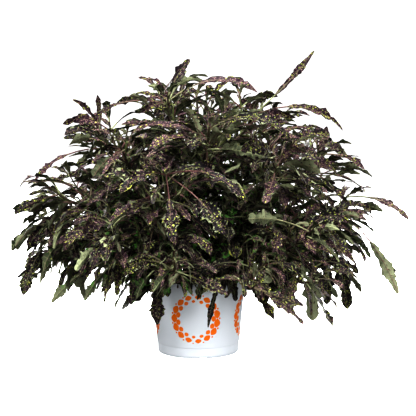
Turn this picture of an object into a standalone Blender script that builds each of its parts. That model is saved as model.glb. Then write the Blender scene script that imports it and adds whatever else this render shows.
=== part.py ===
"""A potted coleus: a plastic pot, its compost, and thirteen leafy shoots that stand in holes in the compost.

Metres, +Z up. The origin is the middle of the pot's underside, on the surface that the pot stands on, and -Y
is the side that faces a viewer. Each shoot is one solid: a square stem that forks into three, with its leaves
fused to it.
"""

import math
from dataclasses import dataclass, replace

import bmesh
import bpy
import numpy as np
from mathutils.bvhtree import BVHTree

UP = np.array((0.0, 0.0, 1.0))

# Pot and compost
POT_HEIGHT = 0.1365
POT_BASE_RADIUS = 0.0742
POT_WALL_TOP_RADIUS = 0.0862
POT_RIM_RADIUS = 0.0880
POT_RIM_DROP = 0.008
POT_WALL = 0.0014
POT_STEP_HEIGHT = 0.018
POT_STEP_OUT = 0.0008
EDGE_CHAMFER = 0.0010
PAD_RADIUS = 0.048
CHANNEL_OUTER_RADIUS = 0.0670
CHANNEL_HEIGHT = 0.0040
CHANNEL_SLOPE = 0.0016
ROUND_SIDES = 32
DRAIN_HOLES = 6
DRAIN_RADIUS = 0.0040
FOOT_NOTCHES = 4
NOTCH_WIDTH = 0.0125
NOTCH_HEIGHT = 0.0030
FIRST_NOTCH = math.radians(-83)
CUT_SPARE = 0.002
SOIL_TOP = 0.1235
SOIL_RELIEF = 0.0022
SOIL_CROWN, LONG_LUMPS, SHORT_LUMPS = 0.9, 0.5, 0.25  # shares of the relief
SOIL_FLAT_EDGE = 0.01
SOIL_RINGS = (0.025, 0.055)
LUMP_LENGTH = 0.058
FIT_GAP = 0.0004

# Shoots: the outer ones make the dome, and the short ones fill it just above the rim
SEED = 11
FEATURE_STREAM = 1000
OUTER_SHOOTS = 10
SHORT_SHOOTS = 3
SHOOTS = OUTER_SHOOTS + SHORT_SHOOTS
TIPS_PER_SHOOT = 3
CROWN = np.array((0.0, 0.0, 0.1295))
SIDE_REACH = 0.300
TOP_REACH = 0.350
SHORT_REACH = 0.185
REACH_SPREAD = 0.05
WIDEST_POLAR = math.radians(90)
LOWEST_TIP = 0.1695
SHORT_POLAR = math.radians(70)
GOLDEN_TURN = math.radians(137.508)
FIRST_TURN = math.radians(-76)
FIRST_SHORT_TURN = math.radians(-82)
TIP_SPREAD = 0.29
SHORT_SPREAD = 0.62
TIP_LIFT = 0.75
BASE_RING = 0.058
SHORT_BASE_RING = 0.066
STEM_DEPTH = 0.030
STEM_LEAN = 0.25
STEM_BASE_RADIUS = 0.0046
FORK_RADIUS = 0.0034
STEM_TIP_RADIUS = 0.0019
LEADER_POINTS = 9
SIDE_POINTS = 6
FIRST_FORK = 3
ARCH_REACH = 0.42
FORK_ASIDE = 0.8
TANGENT_STEP = 0.008
FIRST_SHOOT = 0.4
HOLE_LIP = 0.001
HOLE_RADIUS = 0.0056

# Leaves, from the youngest pair at a tip to the oldest
NODE_BACK = (0.006, 0.026, 0.054, 0.092)
BLADE_LENGTH = (0.044, 0.074, 0.090, 0.092)
PETIOLE_LENGTH = (0.008, 0.018, 0.030, 0.036)
DIVERGENCE = tuple(math.radians(angle) for angle in (30, 50, 64, 74))
TURN_SPREAD = 0.22
ANGLE_SPREAD = 0.12
ROLL_SPREAD = 0.36
SWEEP_SPREAD = 0.25
TWIST_SPREAD = 0.45
NODE_SPREAD = (0.90, 1.12)
SIZE_SPREAD = (0.86, 1.16)
LENGTH_SPREAD = (0.92, 1.12)
WIDTH_SPREAD = (0.72, 1.20)
FOLD = tuple(math.radians(angle) for angle in (8, 22))
WAVE = (0.12, 0.24)
OUTWARD_PULL = 0.22
LOWEST_RISE = math.radians(-32)
TURNED_SHARE = 1 / 7
TURNED_TWIST = (1.9, 2.9)
LIGHT_UP, LIGHT_OUT, LIGHT_ALONG = 0.70, 0.80, 0.20
OLDEST = len(NODE_BACK) - 1
WIDTH_SHARE = 0.28
RIB_THICKNESS = 0.0016
PETIOLE_HALF = 0.0012
WIDEST = 0.56
TIP_POWER = 0.75
LOBES = 0.26
DROOP = (0.60, 1.42)
TOP_DROOP_LOSS = 0.75
YOUNG_DROOP = 0.5
BEND_POWER = 1.3
MIDRIB_STEPS = 32
MIDDLE_SHARE = 0.45
EDGE_LOBES = 2.1
EDGE_WAVES = 1.6
CLEARANCE = 0.0008
JOINED_SHARE = 0.16
GUARD_TOP, GUARD_SIDE, GUARD_SIDES = 0.001, 0.003, 24
TRIES = 14
LOWEST_LEAF = 0.0495
SIGHT_HEIGHT = 0.1165
SIGHT_SLOPE = 0.17
SIGHT_HALF_WIDTH = 0.094
SIGHT_DEPTH = 0.03
YOUNG_BLADE = 0.056

# The leaves that stand out in a front view. A viewer's eye is at VIEWER. Each leaf's root and tip are given as
# they are seen in the upright plane through the pot's axis, to the right and up, with their depth in front
VIEWER = np.array((0.018, -2.30, 0.5105))
LIGHT, FRONT, BACK = "light", "front", "back"
FEATURES = (
    # root, tip, depth, width, bend, which way the upper face looks
    ((0.144, 0.471), (0.211, 0.552), 0.06, 0.012, -0.2, FRONT),
    ((-0.002, 0.483), (-0.015, 0.536), 0.03, 0.018, 0.5, FRONT),
    ((-0.024, 0.478), (-0.103, 0.504), 0.05, 0.009, 1.1, LIGHT),
    ((0.000, 0.487), (0.109, 0.475), 0.06, 0.019, 1.4, LIGHT),
    ((-0.052, 0.437), (-0.055, 0.480), 0.03, 0.010, 0.2, FRONT),
    ((-0.078, 0.433), (-0.088, 0.463), 0.02, 0.014, 0.3, FRONT),
    ((0.040, 0.483), (0.086, 0.471), 0.04, 0.012, 1.0, LIGHT),
    ((0.095, 0.475), (0.066, 0.427), 0.07, 0.026, 0.6, FRONT),
    ((-0.034, 0.463), (-0.078, 0.433), 0.07, 0.018, 0.7, FRONT),
    ((-0.130, 0.441), (-0.188, 0.430), 0.05, 0.014, 1.0, LIGHT),
    ((-0.066, 0.467), (-0.115, 0.473), 0.01, 0.009, 0.9, LIGHT),
    ((0.000, 0.420), (-0.119, 0.405), 0.14, 0.018, 1.1, LIGHT),
    ((-0.150, 0.441), (-0.229, 0.463), 0.02, 0.012, 1.0, LIGHT),
    ((-0.140, 0.435), (-0.183, 0.472), 0.00, 0.010, 0.8, LIGHT),
    ((-0.152, 0.400), (-0.244, 0.398), 0.04, 0.022, 1.3, LIGHT),
    ((-0.180, 0.372), (-0.246, 0.393), -0.03, 0.014, 0.6, FRONT),
    ((-0.226, 0.335), (-0.302, 0.309), 0.02, 0.014, 1.1, LIGHT),
    ((-0.270, 0.305), (-0.350, 0.285), 0.00, 0.013, 0.9, FRONT),
    ((-0.259, 0.250), (-0.337, 0.193), 0.05, 0.014, 1.0, BACK),
    ((-0.280, 0.178), (-0.324, 0.102), 0.06, 0.026, 0.7, FRONT),
    ((-0.246, 0.146), (-0.272, 0.088), 0.08, 0.016, 0.5, BACK),
    ((-0.194, 0.150), (-0.211, 0.091), 0.14, 0.014, 0.5, BACK),
    ((-0.158, 0.165), (-0.171, 0.109), 0.18, 0.022, 0.5, FRONT),
    ((-0.096, 0.140), (-0.076, 0.046), 0.15, 0.025, 0.5, FRONT),
    ((0.029, 0.143), (0.018, 0.041), 0.13, 0.010, 0.4, FRONT),
    ((0.043, 0.135), (0.069, 0.091), 0.14, 0.015, 0.6, LIGHT),
    ((0.223, 0.354), (0.283, 0.395), 0.03, 0.026, 0.5, FRONT),
    ((0.168, 0.456), (0.264, 0.406), 0.02, 0.024, 1.3, LIGHT),
    ((0.250, 0.358), (0.305, 0.334), 0.00, 0.015, 0.9, LIGHT),
    ((0.310, 0.295), (0.387, 0.243), 0.02, 0.015, 0.9, LIGHT),
    ((0.323, 0.205), (0.370, 0.104), 0.04, 0.022, 0.6, BACK),
    ((0.208, 0.154), (0.212, 0.054), 0.12, 0.034, 0.4, BACK),
    ((0.268, 0.183), (0.276, 0.076), 0.08, 0.028, 0.5, FRONT),
    ((0.159, 0.178), (0.162, 0.065), 0.18, 0.022, 0.4, FRONT),
    ((0.226, 0.165), (0.237, 0.085), 0.10, 0.024, 0.4, FRONT),
    ((-0.160, 0.356), (-0.192, 0.322), 0.14, 0.024, 0.5, BACK),
    ((0.128, 0.279), (0.092, 0.244), 0.24, 0.026, 0.6, BACK),
    ((-0.015, 0.302), (-0.143, 0.291), 0.31, 0.024, 1.0, LIGHT),
    ((-0.006, 0.304), (0.089, 0.274), 0.31, 0.016, 1.2, LIGHT),
    ((0.018, 0.287), (0.051, 0.217), 0.31, 0.034, 0.5, FRONT),
    ((-0.015, 0.269), (-0.048, 0.202), 0.31, 0.026, 0.6, FRONT),
    ((0.040, 0.372), (0.168, 0.389), 0.24, 0.020, 1.5, LIGHT),
    ((0.009, 0.358), (-0.061, 0.332), 0.28, 0.020, 1.2, LIGHT),
    ((-0.060, 0.177), (-0.056, 0.099), 0.15, 0.020, 0.5, FRONT),
    ((-0.028, 0.175), (-0.012, 0.107), 0.16, 0.018, 0.5, FRONT),
    ((0.004, 0.173), (0.006, 0.113), 0.14, 0.016, 0.5, FRONT),
    ((0.062, 0.177), (0.044, 0.117), 0.15, 0.018, 0.5, BACK),
    ((0.080, 0.173), (0.092, 0.111), 0.14, 0.020, 0.5, FRONT),
    ((-0.090, 0.191), (-0.106, 0.117), 0.16, 0.020, 0.6, LIGHT),
)
LONGEST_BLADE_SHARE = 0.88
FEATURE_TWIST_SPREAD = 0.30
FEATURE_FOLD = tuple(math.radians(angle) for angle in (8, 18))
FEATURE_WAVE = (0.12, 0.22)
ROOT_BEHIND = 0.010
STEM_SHARES = np.linspace(0.35, 0.97, 28)
LOOKS = {LIGHT: np.array((0, -0.6, 0.7)), FRONT: np.array((0, -1, 0.25)), BACK: np.array((0, 1, 0))}

# How far a leaf may be turned, lifted and shrunk at each try to find it room
HEADING_TRY, RISE_TRY, BEND_TRY, ROLL_TRY = 0.35, 0.22, 0.25, 0.25
SHRINK_TRY = (0.88, 1.0)
STEEPEST = math.radians(82)

# Where the left edge, the rib and the right edge of each row of a leaf's solid are, as shares of the blade
BLADE_ROWS = ((0.0, 0.0, 0.0), (0.22, 0.28, 0.36), (0.68, 0.62, 0.56))
YOUNG_ROWS = BLADE_ROWS[1:]


def unit(v):
    """v at length one."""
    return v / np.linalg.norm(v)


def heading_of(polar, azimuth):
    """The unit vector at a polar angle from +Z and an azimuth from +X."""
    return np.array(
        (math.sin(polar) * math.cos(azimuth), math.sin(polar) * math.sin(azimuth), math.cos(polar))
    )


def across(v):
    """Two unit vectors square to v and to each other."""
    side = unit(np.cross(v, (0.31, 0.17, 1.0) if abs(v[2]) < 0.9 else (1.0, 0.2, 0.1)))
    return side, np.cross(v, side)


def arch(start, start_way, end, end_way, count):
    """count points of the cubic curve that leaves start along start_way and reaches end along end_way."""
    reach = ARCH_REACH * np.linalg.norm(end - start)
    corners = (start, start + reach * start_way, end - reach * end_way, end)
    t = np.linspace(0, 1, count)[:, None]
    weights = ((1 - t) ** 3, 3 * t * (1 - t) ** 2, 3 * t * t * (1 - t), t**3)
    return sum(w * c for w, c in zip(weights, corners))


@dataclass
class Branch:
    """A stretch of stem: its points from root to tip, its radius at both ends, and the shoot it is part of."""

    points: np.ndarray
    radii: tuple
    shoot: int

    def back_from_tip(self, distance):
        """The point this far back from the tip, and the stem's direction there."""
        steps = np.linalg.norm(np.diff(self.points, axis=0), axis=1)
        run = np.concatenate(([0.0], np.cumsum(steps[::-1])))
        line = self.points[::-1]
        place = np.array([np.interp(distance, run, line[:, i]) for i in range(3)])
        below = np.array([np.interp(distance + TANGENT_STEP, run, line[:, i]) for i in range(3)])
        return place, unit(place - below)


def shoot_way(k):
    """The way that shoot k leans, how far it spreads, and how far from the middle it stands in the compost.

    The outer shoots are spread evenly, by equal areas, over a dome a little past level. The short ones are
    spread evenly round the pot."""
    if k < OUTER_SHOOTS:
        share = (k + FIRST_SHOOT) / OUTER_SHOOTS
        polar = math.acos(1 - share * (1 - math.cos(WIDEST_POLAR)))
        return heading_of(polar, FIRST_TURN + k * GOLDEN_TURN), TIP_SPREAD, BASE_RING * math.sqrt(share)
    turn = FIRST_SHORT_TURN + 2 * math.pi * (k - OUTER_SHOOTS) / SHORT_SHOOTS
    return heading_of(SHORT_POLAR, turn), SHORT_SPREAD, SHORT_BASE_RING


def tip_of(way, short, draw):
    """Where a branch ends, on the dome or on a smaller one, and the way that its tip turns up to the light."""
    reach = SHORT_REACH if short else SIDE_REACH + (TOP_REACH - SIDE_REACH) * max(way[2], 0.0)
    tip = CROWN + reach * (1 + draw.uniform(-REACH_SPREAD, REACH_SPREAD)) * way
    tip[2] = max(tip[2], LOWEST_TIP)
    return tip, unit(way + TIP_LIFT * (1 - way[2]) * UP)


def shoot_branches(k):
    """The stretches of stem of shoot k: its leader out of the compost, and two side branches part way up."""
    draw = np.random.default_rng((SEED, k))
    way, spread, ring = shoot_way(k)
    one, two = across(way)
    turn = draw.uniform(0, 2 * math.pi)
    tips = []
    for j in range(TIPS_PER_SHOOT):
        a = turn + 2 * math.pi * j / TIPS_PER_SHOOT
        tip_way = unit(way + spread * (math.cos(a) * one + math.sin(a) * two))
        tips.append(tip_of(tip_way, k >= OUTER_SHOOTS, draw))
    flat = unit(np.array((way[0], way[1], 0.0)))
    base = ring * flat + SOIL_TOP * UP
    leader = arch(base, unit(UP + STEM_LEAN * flat), *tips[0], LEADER_POINTS)
    line = np.concatenate(((base - STEM_DEPTH * UP, base - HOLE_LIP * UP), leader[1:]))
    found = [Branch(line, (STEM_BASE_RADIUS, STEM_TIP_RADIUS), k)]
    for j in range(1, TIPS_PER_SHOOT):
        fork = FIRST_FORK + j - 1
        way_on = unit(leader[fork + 1] - leader[fork - 1])
        aside = unit(tips[j][0] - leader[fork])
        line = arch(leader[fork], unit(way_on + FORK_ASIDE * aside), *tips[j], SIDE_POINTS)
        found.append(Branch(line, (FORK_RADIUS, STEM_TIP_RADIUS), k))
    return found


@dataclass
class Leaf:
    """A leaf: where it leaves its stem, how its midrib runs, and its blade's form. Angles are in radians."""

    root: np.ndarray
    heading: float  # the midrib's azimuth at the root
    rise: float  # its pitch there
    bend: float  # how far the pitch falls by the tip
    sweep: float  # how far the azimuth turns by the tip
    roll: float  # the blade's turn about the midrib at the root
    twist: float  # its further turn by the tip
    petiole: float
    blade: float
    width: float
    fold: float  # how far each half is raised
    wave: float  # the height of the waves at the edge, as a share of the half width
    phase: float
    shoot: int

    @property
    def length(self):
        return self.petiole + self.blade


def midrib(leaf, share):
    """Points, side vectors and upward normals of a leaf's midrib at shares of its length.

    The pitch falls with the share to the power BEND_POWER, the azimuth turns with its square, and the points
    are the running sum of the directions."""

    def way(t):
        pitch = leaf.rise - leaf.bend * t**BEND_POWER
        yaw = leaf.heading + leaf.sweep * t * t
        return np.stack((np.cos(pitch) * np.cos(yaw), np.cos(pitch) * np.sin(yaw), np.sin(pitch)), -1), yaw

    t = np.linspace(0, 1, MIDRIB_STEPS + 1)
    steps = way(t)[0]
    run = np.concatenate((np.zeros((1, 3)), np.cumsum((steps[1:] + steps[:-1]) / 2, axis=0)))
    line = leaf.root + leaf.length / MIDRIB_STEPS * run
    place = np.stack([np.interp(share, t, line[:, i]) for i in range(3)], -1)
    along, yaw = way(share)
    level = np.stack((-np.sin(yaw), np.cos(yaw), np.zeros_like(yaw)), -1)
    over = np.cross(along, level)
    roll = (leaf.roll + leaf.twist * share)[:, None]
    return place, np.cos(roll) * level + np.sin(roll) * over, np.cos(roll) * over - np.sin(roll) * level


def half_width(leaf, x, side):
    """Half the width at a share x of the blade: it widens to past the middle, ends bluntly, and has lobes."""
    x = np.clip(x, 0.0, 1.0)
    lance = (x / WIDEST) ** (TIP_POWER * WIDEST / (1 - WIDEST)) * ((1 - x) / (1 - WIDEST)) ** TIP_POWER
    lobes = 1 + LOBES * np.cos(2 * math.pi * (EDGE_LOBES * x + leaf.phase + 0.5 * side))
    return PETIOLE_HALF + 0.5 * leaf.width * lance * lobes


def surface(leaf, share, v):
    """Points of a leaf at shares of its length and at v across, -1 to 1, and the midrib's normals there.

    Each half is raised by the fold, and waved more and more towards its edge."""
    place, side, over = midrib(leaf, share)
    x = (share * leaf.length - leaf.petiole) / leaf.blade
    half = half_width(leaf, x, np.sign(v))
    wave = leaf.wave * np.sin(2 * math.pi * (EDGE_WAVES * x + leaf.phase + 0.3 * np.sign(v)))
    lift = half * (np.abs(v) * math.sin(leaf.fold) + wave * np.clip(4 * x, 0, 1) * v * v)
    return place + side * (half * v * math.cos(leaf.fold))[:, None] + over * lift[:, None], over


def leaf_mesh(leaf, spare=0.0, first=0.0):
    """Points and faces of a leaf's solid: rows of four points (left, over, right, under) that end in a tip.

    Both faces are split alike and meet at the edges. The petiole is a straight prism, but a young leaf's
    blade runs down to the stem. spare widens the leaf all round, to try whether it has room, and first is the
    share of its length where the solid begins."""
    young = leaf.blade < YOUNG_BLADE
    rows = (leaf.petiole + np.array(YOUNG_ROWS if young else BLADE_ROWS) * leaf.blade) / leaf.length
    rows = np.concatenate((np.full((1, 3), first), rows))
    left, _ = surface(leaf, rows[:, 0], np.full(len(rows), -1.0))
    rib, over = surface(leaf, rows[:, 1], np.zeros(len(rows)))
    right, _ = surface(leaf, rows[:, 2], np.full(len(rows), 1.0))
    outward = right - left
    outward /= np.linalg.norm(outward, axis=1)[:, None]
    half = (RIB_THICKNESS / 2 + spare) * over
    rings = np.stack((left - spare * outward, rib + half, right + spare * outward, rib - half), axis=1)
    if not young:
        rings[0] = rings[1] + rib[0] - rib[1]
    tip = surface(leaf, np.array([1.0]), np.zeros(1))[0]
    points = np.concatenate((rings.reshape(-1, 3), tip))
    last = len(points) - 1
    faces = [(0, 1, 2, 3)]
    if not young:
        faces += [(0, 4, 5, 1), (1, 5, 6, 2), (0, 3, 7, 4), (2, 6, 7, 3)]
    for row in range(0 if young else 1, len(rings) - 1):
        a, b = 4 * row, 4 * row + 4
        faces += [(a, b, a + 1), (a + 1, b, b + 1), (a + 2, a + 1, b + 2), (a + 1, b + 1, b + 2)]
        faces += [(a, a + 3, b), (a + 3, b + 3, b), (a + 2, b + 2, a + 3), (a + 3, b + 2, b + 3)]
    a = 4 * (len(rings) - 1)
    faces += [(a, last, a + 1), (a + 1, last, a + 2), (a + 2, last, a + 3), (a + 3, last, a)]
    return points, faces


def tube_mesh(line, radii, sides=4):
    """Points and faces of a closed tube round a line. Its sides follow the line without a twist."""
    way = np.gradient(line, axis=0)
    way /= np.linalg.norm(way, axis=1)[:, None]
    side = across(way[0])[0]
    angle = np.linspace(0, 2 * math.pi, sides, endpoint=False)
    points = []
    for place, along, radius in zip(line, way, np.linspace(*radii, len(line))):
        side = unit(side - along * (side @ along))
        other = np.cross(along, side)
        points.append(place + radius * (np.outer(np.cos(angle), side) + np.outer(np.sin(angle), other)))
    faces = []
    for row in range(len(line) - 1):
        for i in range(sides):
            a, b = row * sides + i, row * sides + (i + 1) % sides
            faces.append((a, b, b + sides, a + sides))
    top = (len(line) - 1) * sides
    faces += [tuple(range(sides))[::-1], tuple(range(top, top + sides))]
    return np.concatenate(points), faces


class Thicket:
    """What is already in place, so that the next leaf can be kept clear of it."""

    def __init__(self):
        self.low = []
        self.high = []
        self.trees = []
        self.shoots = []

    def add(self, points, faces, shoot):
        self.low.append(points.min(axis=0))
        self.high.append(points.max(axis=0))
        self.trees.append(BVHTree.FromPolygons(points.tolist(), faces))
        self.shoots.append(shoot)

    def has_room(self, points, faces, shoot=None):
        """True if the mesh crosses nothing, leaving out what belongs to the shoot that is named."""
        near = (np.array(self.low) <= points.max(axis=0)).all(axis=1)
        near &= (np.array(self.high) >= points.min(axis=0)).all(axis=1)
        near &= np.array(self.shoots) != shoot
        tree = BVHTree.FromPolygons(points.tolist(), faces)
        return not any(tree.overlap(self.trees[i]) for i in np.flatnonzero(near))


def hides_pot(points):
    """True if a leaf would hang in front of the pot's wall, which the foliage leaves in view."""
    forward = -points[:, 1]
    sight = SIGHT_HEIGHT + SIGHT_SLOPE * (forward - POT_RIM_RADIUS)
    before = (forward > SIGHT_DEPTH) & (np.abs(points[:, 0]) < SIGHT_HALF_WIDTH)
    return bool((before & (points[:, 2] < sight)).any())


def facing_roll(leaf, light):
    """The roll that turns the middle of a blade's upper face to the light."""
    _, level, over = midrib(replace(leaf, roll=0.0, twist=0.0), np.array([MIDDLE_SHARE]))
    return math.atan2(-float(light @ level[0]), float(light @ over[0]))


def draw_leaf(branch, node, side, draw):
    """A leaf of the opposite pair at a node: it leaves the stem at the node's angle and arches over.

    The tips of the leaves hang the more the further they are from the top of the plant. One blade in seven
    is turned over by a twist and shows its underside."""
    root, way = branch.back_from_tip(NODE_BACK[node] * draw.uniform(*NODE_SPREAD))
    one, two = across(way)
    a = math.pi / 2 * node + math.pi * side + draw.normal(0, TURN_SPREAD)
    spread = DIVERGENCE[node] + draw.normal(0, ANGLE_SPREAD)
    radial = unit(root - CROWN)
    out = math.cos(a) * one + math.sin(a) * two
    start = unit(math.cos(spread) * way + math.sin(spread) * out + OUTWARD_PULL * radial)
    rise = max(math.asin(start[2]), LOWEST_RISE)
    droop = draw.uniform(*DROOP) * (1 - TOP_DROOP_LOSS * max(radial[2], 0.0) ** 2)
    droop *= 1 if node else YOUNG_DROOP
    size = draw.uniform(*SIZE_SPREAD)
    blade = BLADE_LENGTH[node] * size * draw.uniform(*LENGTH_SPREAD)
    turned = draw.uniform() < TURNED_SHARE
    leaf = Leaf(
        root=root,
        heading=math.atan2(start[1], start[0]),
        rise=rise,
        bend=rise + droop,
        sweep=draw.normal(0, SWEEP_SPREAD),
        roll=0.0,
        twist=draw.choice((-1, 1)) * draw.uniform(*TURNED_TWIST) if turned else draw.normal(0, TWIST_SPREAD),
        petiole=PETIOLE_LENGTH[node] * size,
        blade=blade,
        width=blade * WIDTH_SHARE * draw.uniform(*WIDTH_SPREAD),
        fold=draw.uniform(*FOLD),
        wave=draw.uniform(*WAVE),
        phase=draw.uniform(0, 1),
        shoot=branch.shoot,
    )
    light = LIGHT_UP * UP + LIGHT_OUT * radial + LIGHT_ALONG * way
    return replace(leaf, roll=facing_roll(leaf, light) + draw.normal(0, ROLL_SPREAD))


def seen_at(right, up, depth):
    """The point this far in front of the upright plane through the axis that a viewer sees there in it."""
    return VIEWER + (np.array((right, 0.0, up)) - VIEWER) * (1 - depth / -VIEWER[1])


def nearest_stem(branches, place):
    """The branch that passes nearest to a place, and its nearest point, some way from its root."""
    best = None
    for branch in branches:
        for t in STEM_SHARES:
            at = t * (len(branch.points) - 1)
            i = int(at)
            point = branch.points[i] + (at - i) * (branch.points[i + 1] - branch.points[i])
            gap = np.linalg.norm(point - place)
            if best is None or gap < best[0]:
                best = gap, branch, point
    return best[1], best[2]


def feature_leaf(branches, feature, draw):
    """A leaf from the stem nearest to where it is seen to begin, bent so that it is seen to end at its tip."""
    root_seen, tip_seen, depth, width, bend, facing = feature
    tip = seen_at(*tip_seen, depth)
    branch, root = nearest_stem(branches, seen_at(*root_seen, depth - ROOT_BEHIND))
    chord = tip - root
    level = math.hypot(chord[0], chord[1])
    base = Leaf(root, 0.0, 0.0, bend, 0.0, 0.0, 0.0, 0.0, 1.0, 0.0, 0.0, 0.0, 0.0, branch.shoot)
    plain = midrib(base, np.array([1.0]))[0][0] - root
    leaf = replace(
        base,
        heading=math.atan2(chord[1], chord[0]),
        rise=math.atan2(chord[2], level) - math.atan2(plain[2], plain[0]),
        twist=draw.normal(0, FEATURE_TWIST_SPREAD),
        fold=draw.uniform(*FEATURE_FOLD),
        wave=draw.uniform(*FEATURE_WAVE),
        phase=draw.uniform(0, 1),
        width=width,
    )
    length = np.linalg.norm(chord) / np.linalg.norm(plain)
    seen = math.dist(root_seen, tip_seen) / np.linalg.norm(plain)
    blade = min(seen, LONGEST_BLADE_SHARE * length)
    leaf = replace(leaf, blade=blade, petiole=length - blade)
    return replace(leaf, roll=facing_roll(leaf, LOOKS[facing]) - leaf.twist / 2)


def reshaped(leaf, draw):
    """The same leaf, turned, lifted and shrunk a little, as a leaf grows past what is in its way."""
    shrink = draw.uniform(*SHRINK_TRY)
    rise = leaf.rise + draw.normal(0, RISE_TRY)
    return replace(
        leaf,
        heading=leaf.heading + draw.normal(0, HEADING_TRY),
        rise=rise,
        bend=min(leaf.bend + draw.normal(0, BEND_TRY), rise + STEEPEST),
        roll=leaf.roll + draw.normal(0, ROLL_TRY),
        blade=leaf.blade * shrink,
        width=leaf.width * shrink,
    )


def settle(leaf, thicket, draw, may_hide_pot=False):
    """The leaf, or a reshaped one, that crosses nothing and leaves the pot in view, or None without room."""
    for _ in range(TRIES):
        points, faces = leaf_mesh(leaf, CLEARANCE)
        outer = leaf_mesh(leaf, CLEARANCE, JOINED_SHARE)
        in_bounds = may_hide_pot or (points[:, 2].min() > LOWEST_LEAF and not hides_pot(points))
        if in_bounds and thicket.has_room(points, faces, leaf.shoot) and thicket.has_room(*outer):
            thicket.add(*outer, leaf.shoot)
            return leaf
        leaf = reshaped(leaf, draw)
    return None


def grow():
    """All the branches, and the leaves that find room on them: the features, then the youngest first.

    Only a leader still has its oldest pair."""
    thicket = Thicket()
    pot_guard = np.array(((0, 0, 0), (0, 0, POT_HEIGHT + GUARD_TOP)))
    guard_radii = (POT_BASE_RADIUS + GUARD_SIDE, POT_RIM_RADIUS + GUARD_SIDE)
    thicket.add(*tube_mesh(pot_guard, guard_radii, GUARD_SIDES), -1)
    branches = []
    for k in range(SHOOTS):
        for branch in shoot_branches(k):
            thicket.add(*tube_mesh(branch.points, [r + CLEARANCE for r in branch.radii]), k)
            branches.append(branch)
    leaves = []
    for index, feature in enumerate(FEATURES):
        draw = np.random.default_rng((SEED, FEATURE_STREAM + index))
        leaf = settle(feature_leaf(branches, feature, draw), thicket, draw, True)
        if leaf is not None:
            leaves.append(leaf)
    for node in range(len(NODE_BACK)):
        for index, branch in enumerate(branches):
            if node == OLDEST and index % TIPS_PER_SHOOT:
                continue
            for side in (0, 1):
                draw = np.random.default_rng((SEED, index, node, side))
                leaf = settle(draw_leaf(branch, node, side, draw), thicket, draw)
                if leaf is not None:
                    leaves.append(leaf)
    return branches, leaves


def material(name, colour, roughness):
    """A plain Principled material, not metallic."""
    made = bpy.data.materials.new(name)
    made.use_nodes = True
    shader = made.node_tree.nodes["Principled BSDF"]
    shader.inputs["Base Color"].default_value = (*colour, 1.0)
    shader.inputs["Roughness"].default_value = roughness
    shader.inputs["Metallic"].default_value = 0.0
    return made


def mesh_object(name, points, faces, look=None, place=(0.0, 0.0, 0.0)):
    """An object of these points and faces, with its origin at place."""
    mesh = bpy.data.meshes.new(name)
    mesh.from_pydata((np.asarray(points) - place).tolist(), [], faces)
    if look is not None:
        mesh.materials.append(look)
    made = bpy.data.objects.new(name, mesh)
    made.location = place
    bpy.context.scene.collection.objects.link(made)
    return made


def turned(name, profile, look):
    """A solid turned from a profile of (radius, height) points that runs up its outside from axis to axis."""
    form = bmesh.new()
    ring = [form.verts.new((radius, 0.0, height)) for radius, height in profile]
    edges = [form.edges.new(pair) for pair in zip(ring, ring[1:])]
    bmesh.ops.spin(
        form,
        geom=ring + edges,
        axis=(0, 0, 1),
        cent=(0, 0, 0),
        angle=2 * math.pi,
        steps=ROUND_SIDES,
        use_merge=True,
    )
    bmesh.ops.remove_doubles(form, verts=form.verts, dist=1e-5)
    bmesh.ops.recalc_face_normals(form, faces=form.faces)
    made = mesh_object(name, np.zeros((0, 3)), [], look)
    form.to_mesh(made.data)
    form.free()
    return made


def combine(solid, others, operation, solver="EXACT"):
    """Cuts the other objects out of a solid, or fuses them to it, and removes them."""
    group = bpy.data.collections.new("operands")
    bpy.context.scene.collection.children.link(group)
    for other in others:
        bpy.context.scene.collection.objects.unlink(other)
        group.objects.link(other)
    step = solid.modifiers.new("Boolean", "BOOLEAN")
    step.operation = operation
    step.operand_type = "COLLECTION"
    step.collection = group
    step.solver = solver
    mesh = bpy.data.meshes.new_from_object(solid.evaluated_get(bpy.context.evaluated_depsgraph_get()))
    solid.modifiers.remove(step)
    plain = solid.data
    solid.data = mesh
    mesh.name = solid.name
    bpy.data.meshes.remove(plain)
    for other in others:
        bpy.data.objects.remove(other)
    bpy.data.collections.remove(group)


def wall_radius(height):
    """The outer radius of the pot's wall at a height above the step ring."""
    return POT_BASE_RADIUS + (POT_WALL_TOP_RADIUS - POT_BASE_RADIUS) * height / (POT_HEIGHT - POT_RIM_DROP)


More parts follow.
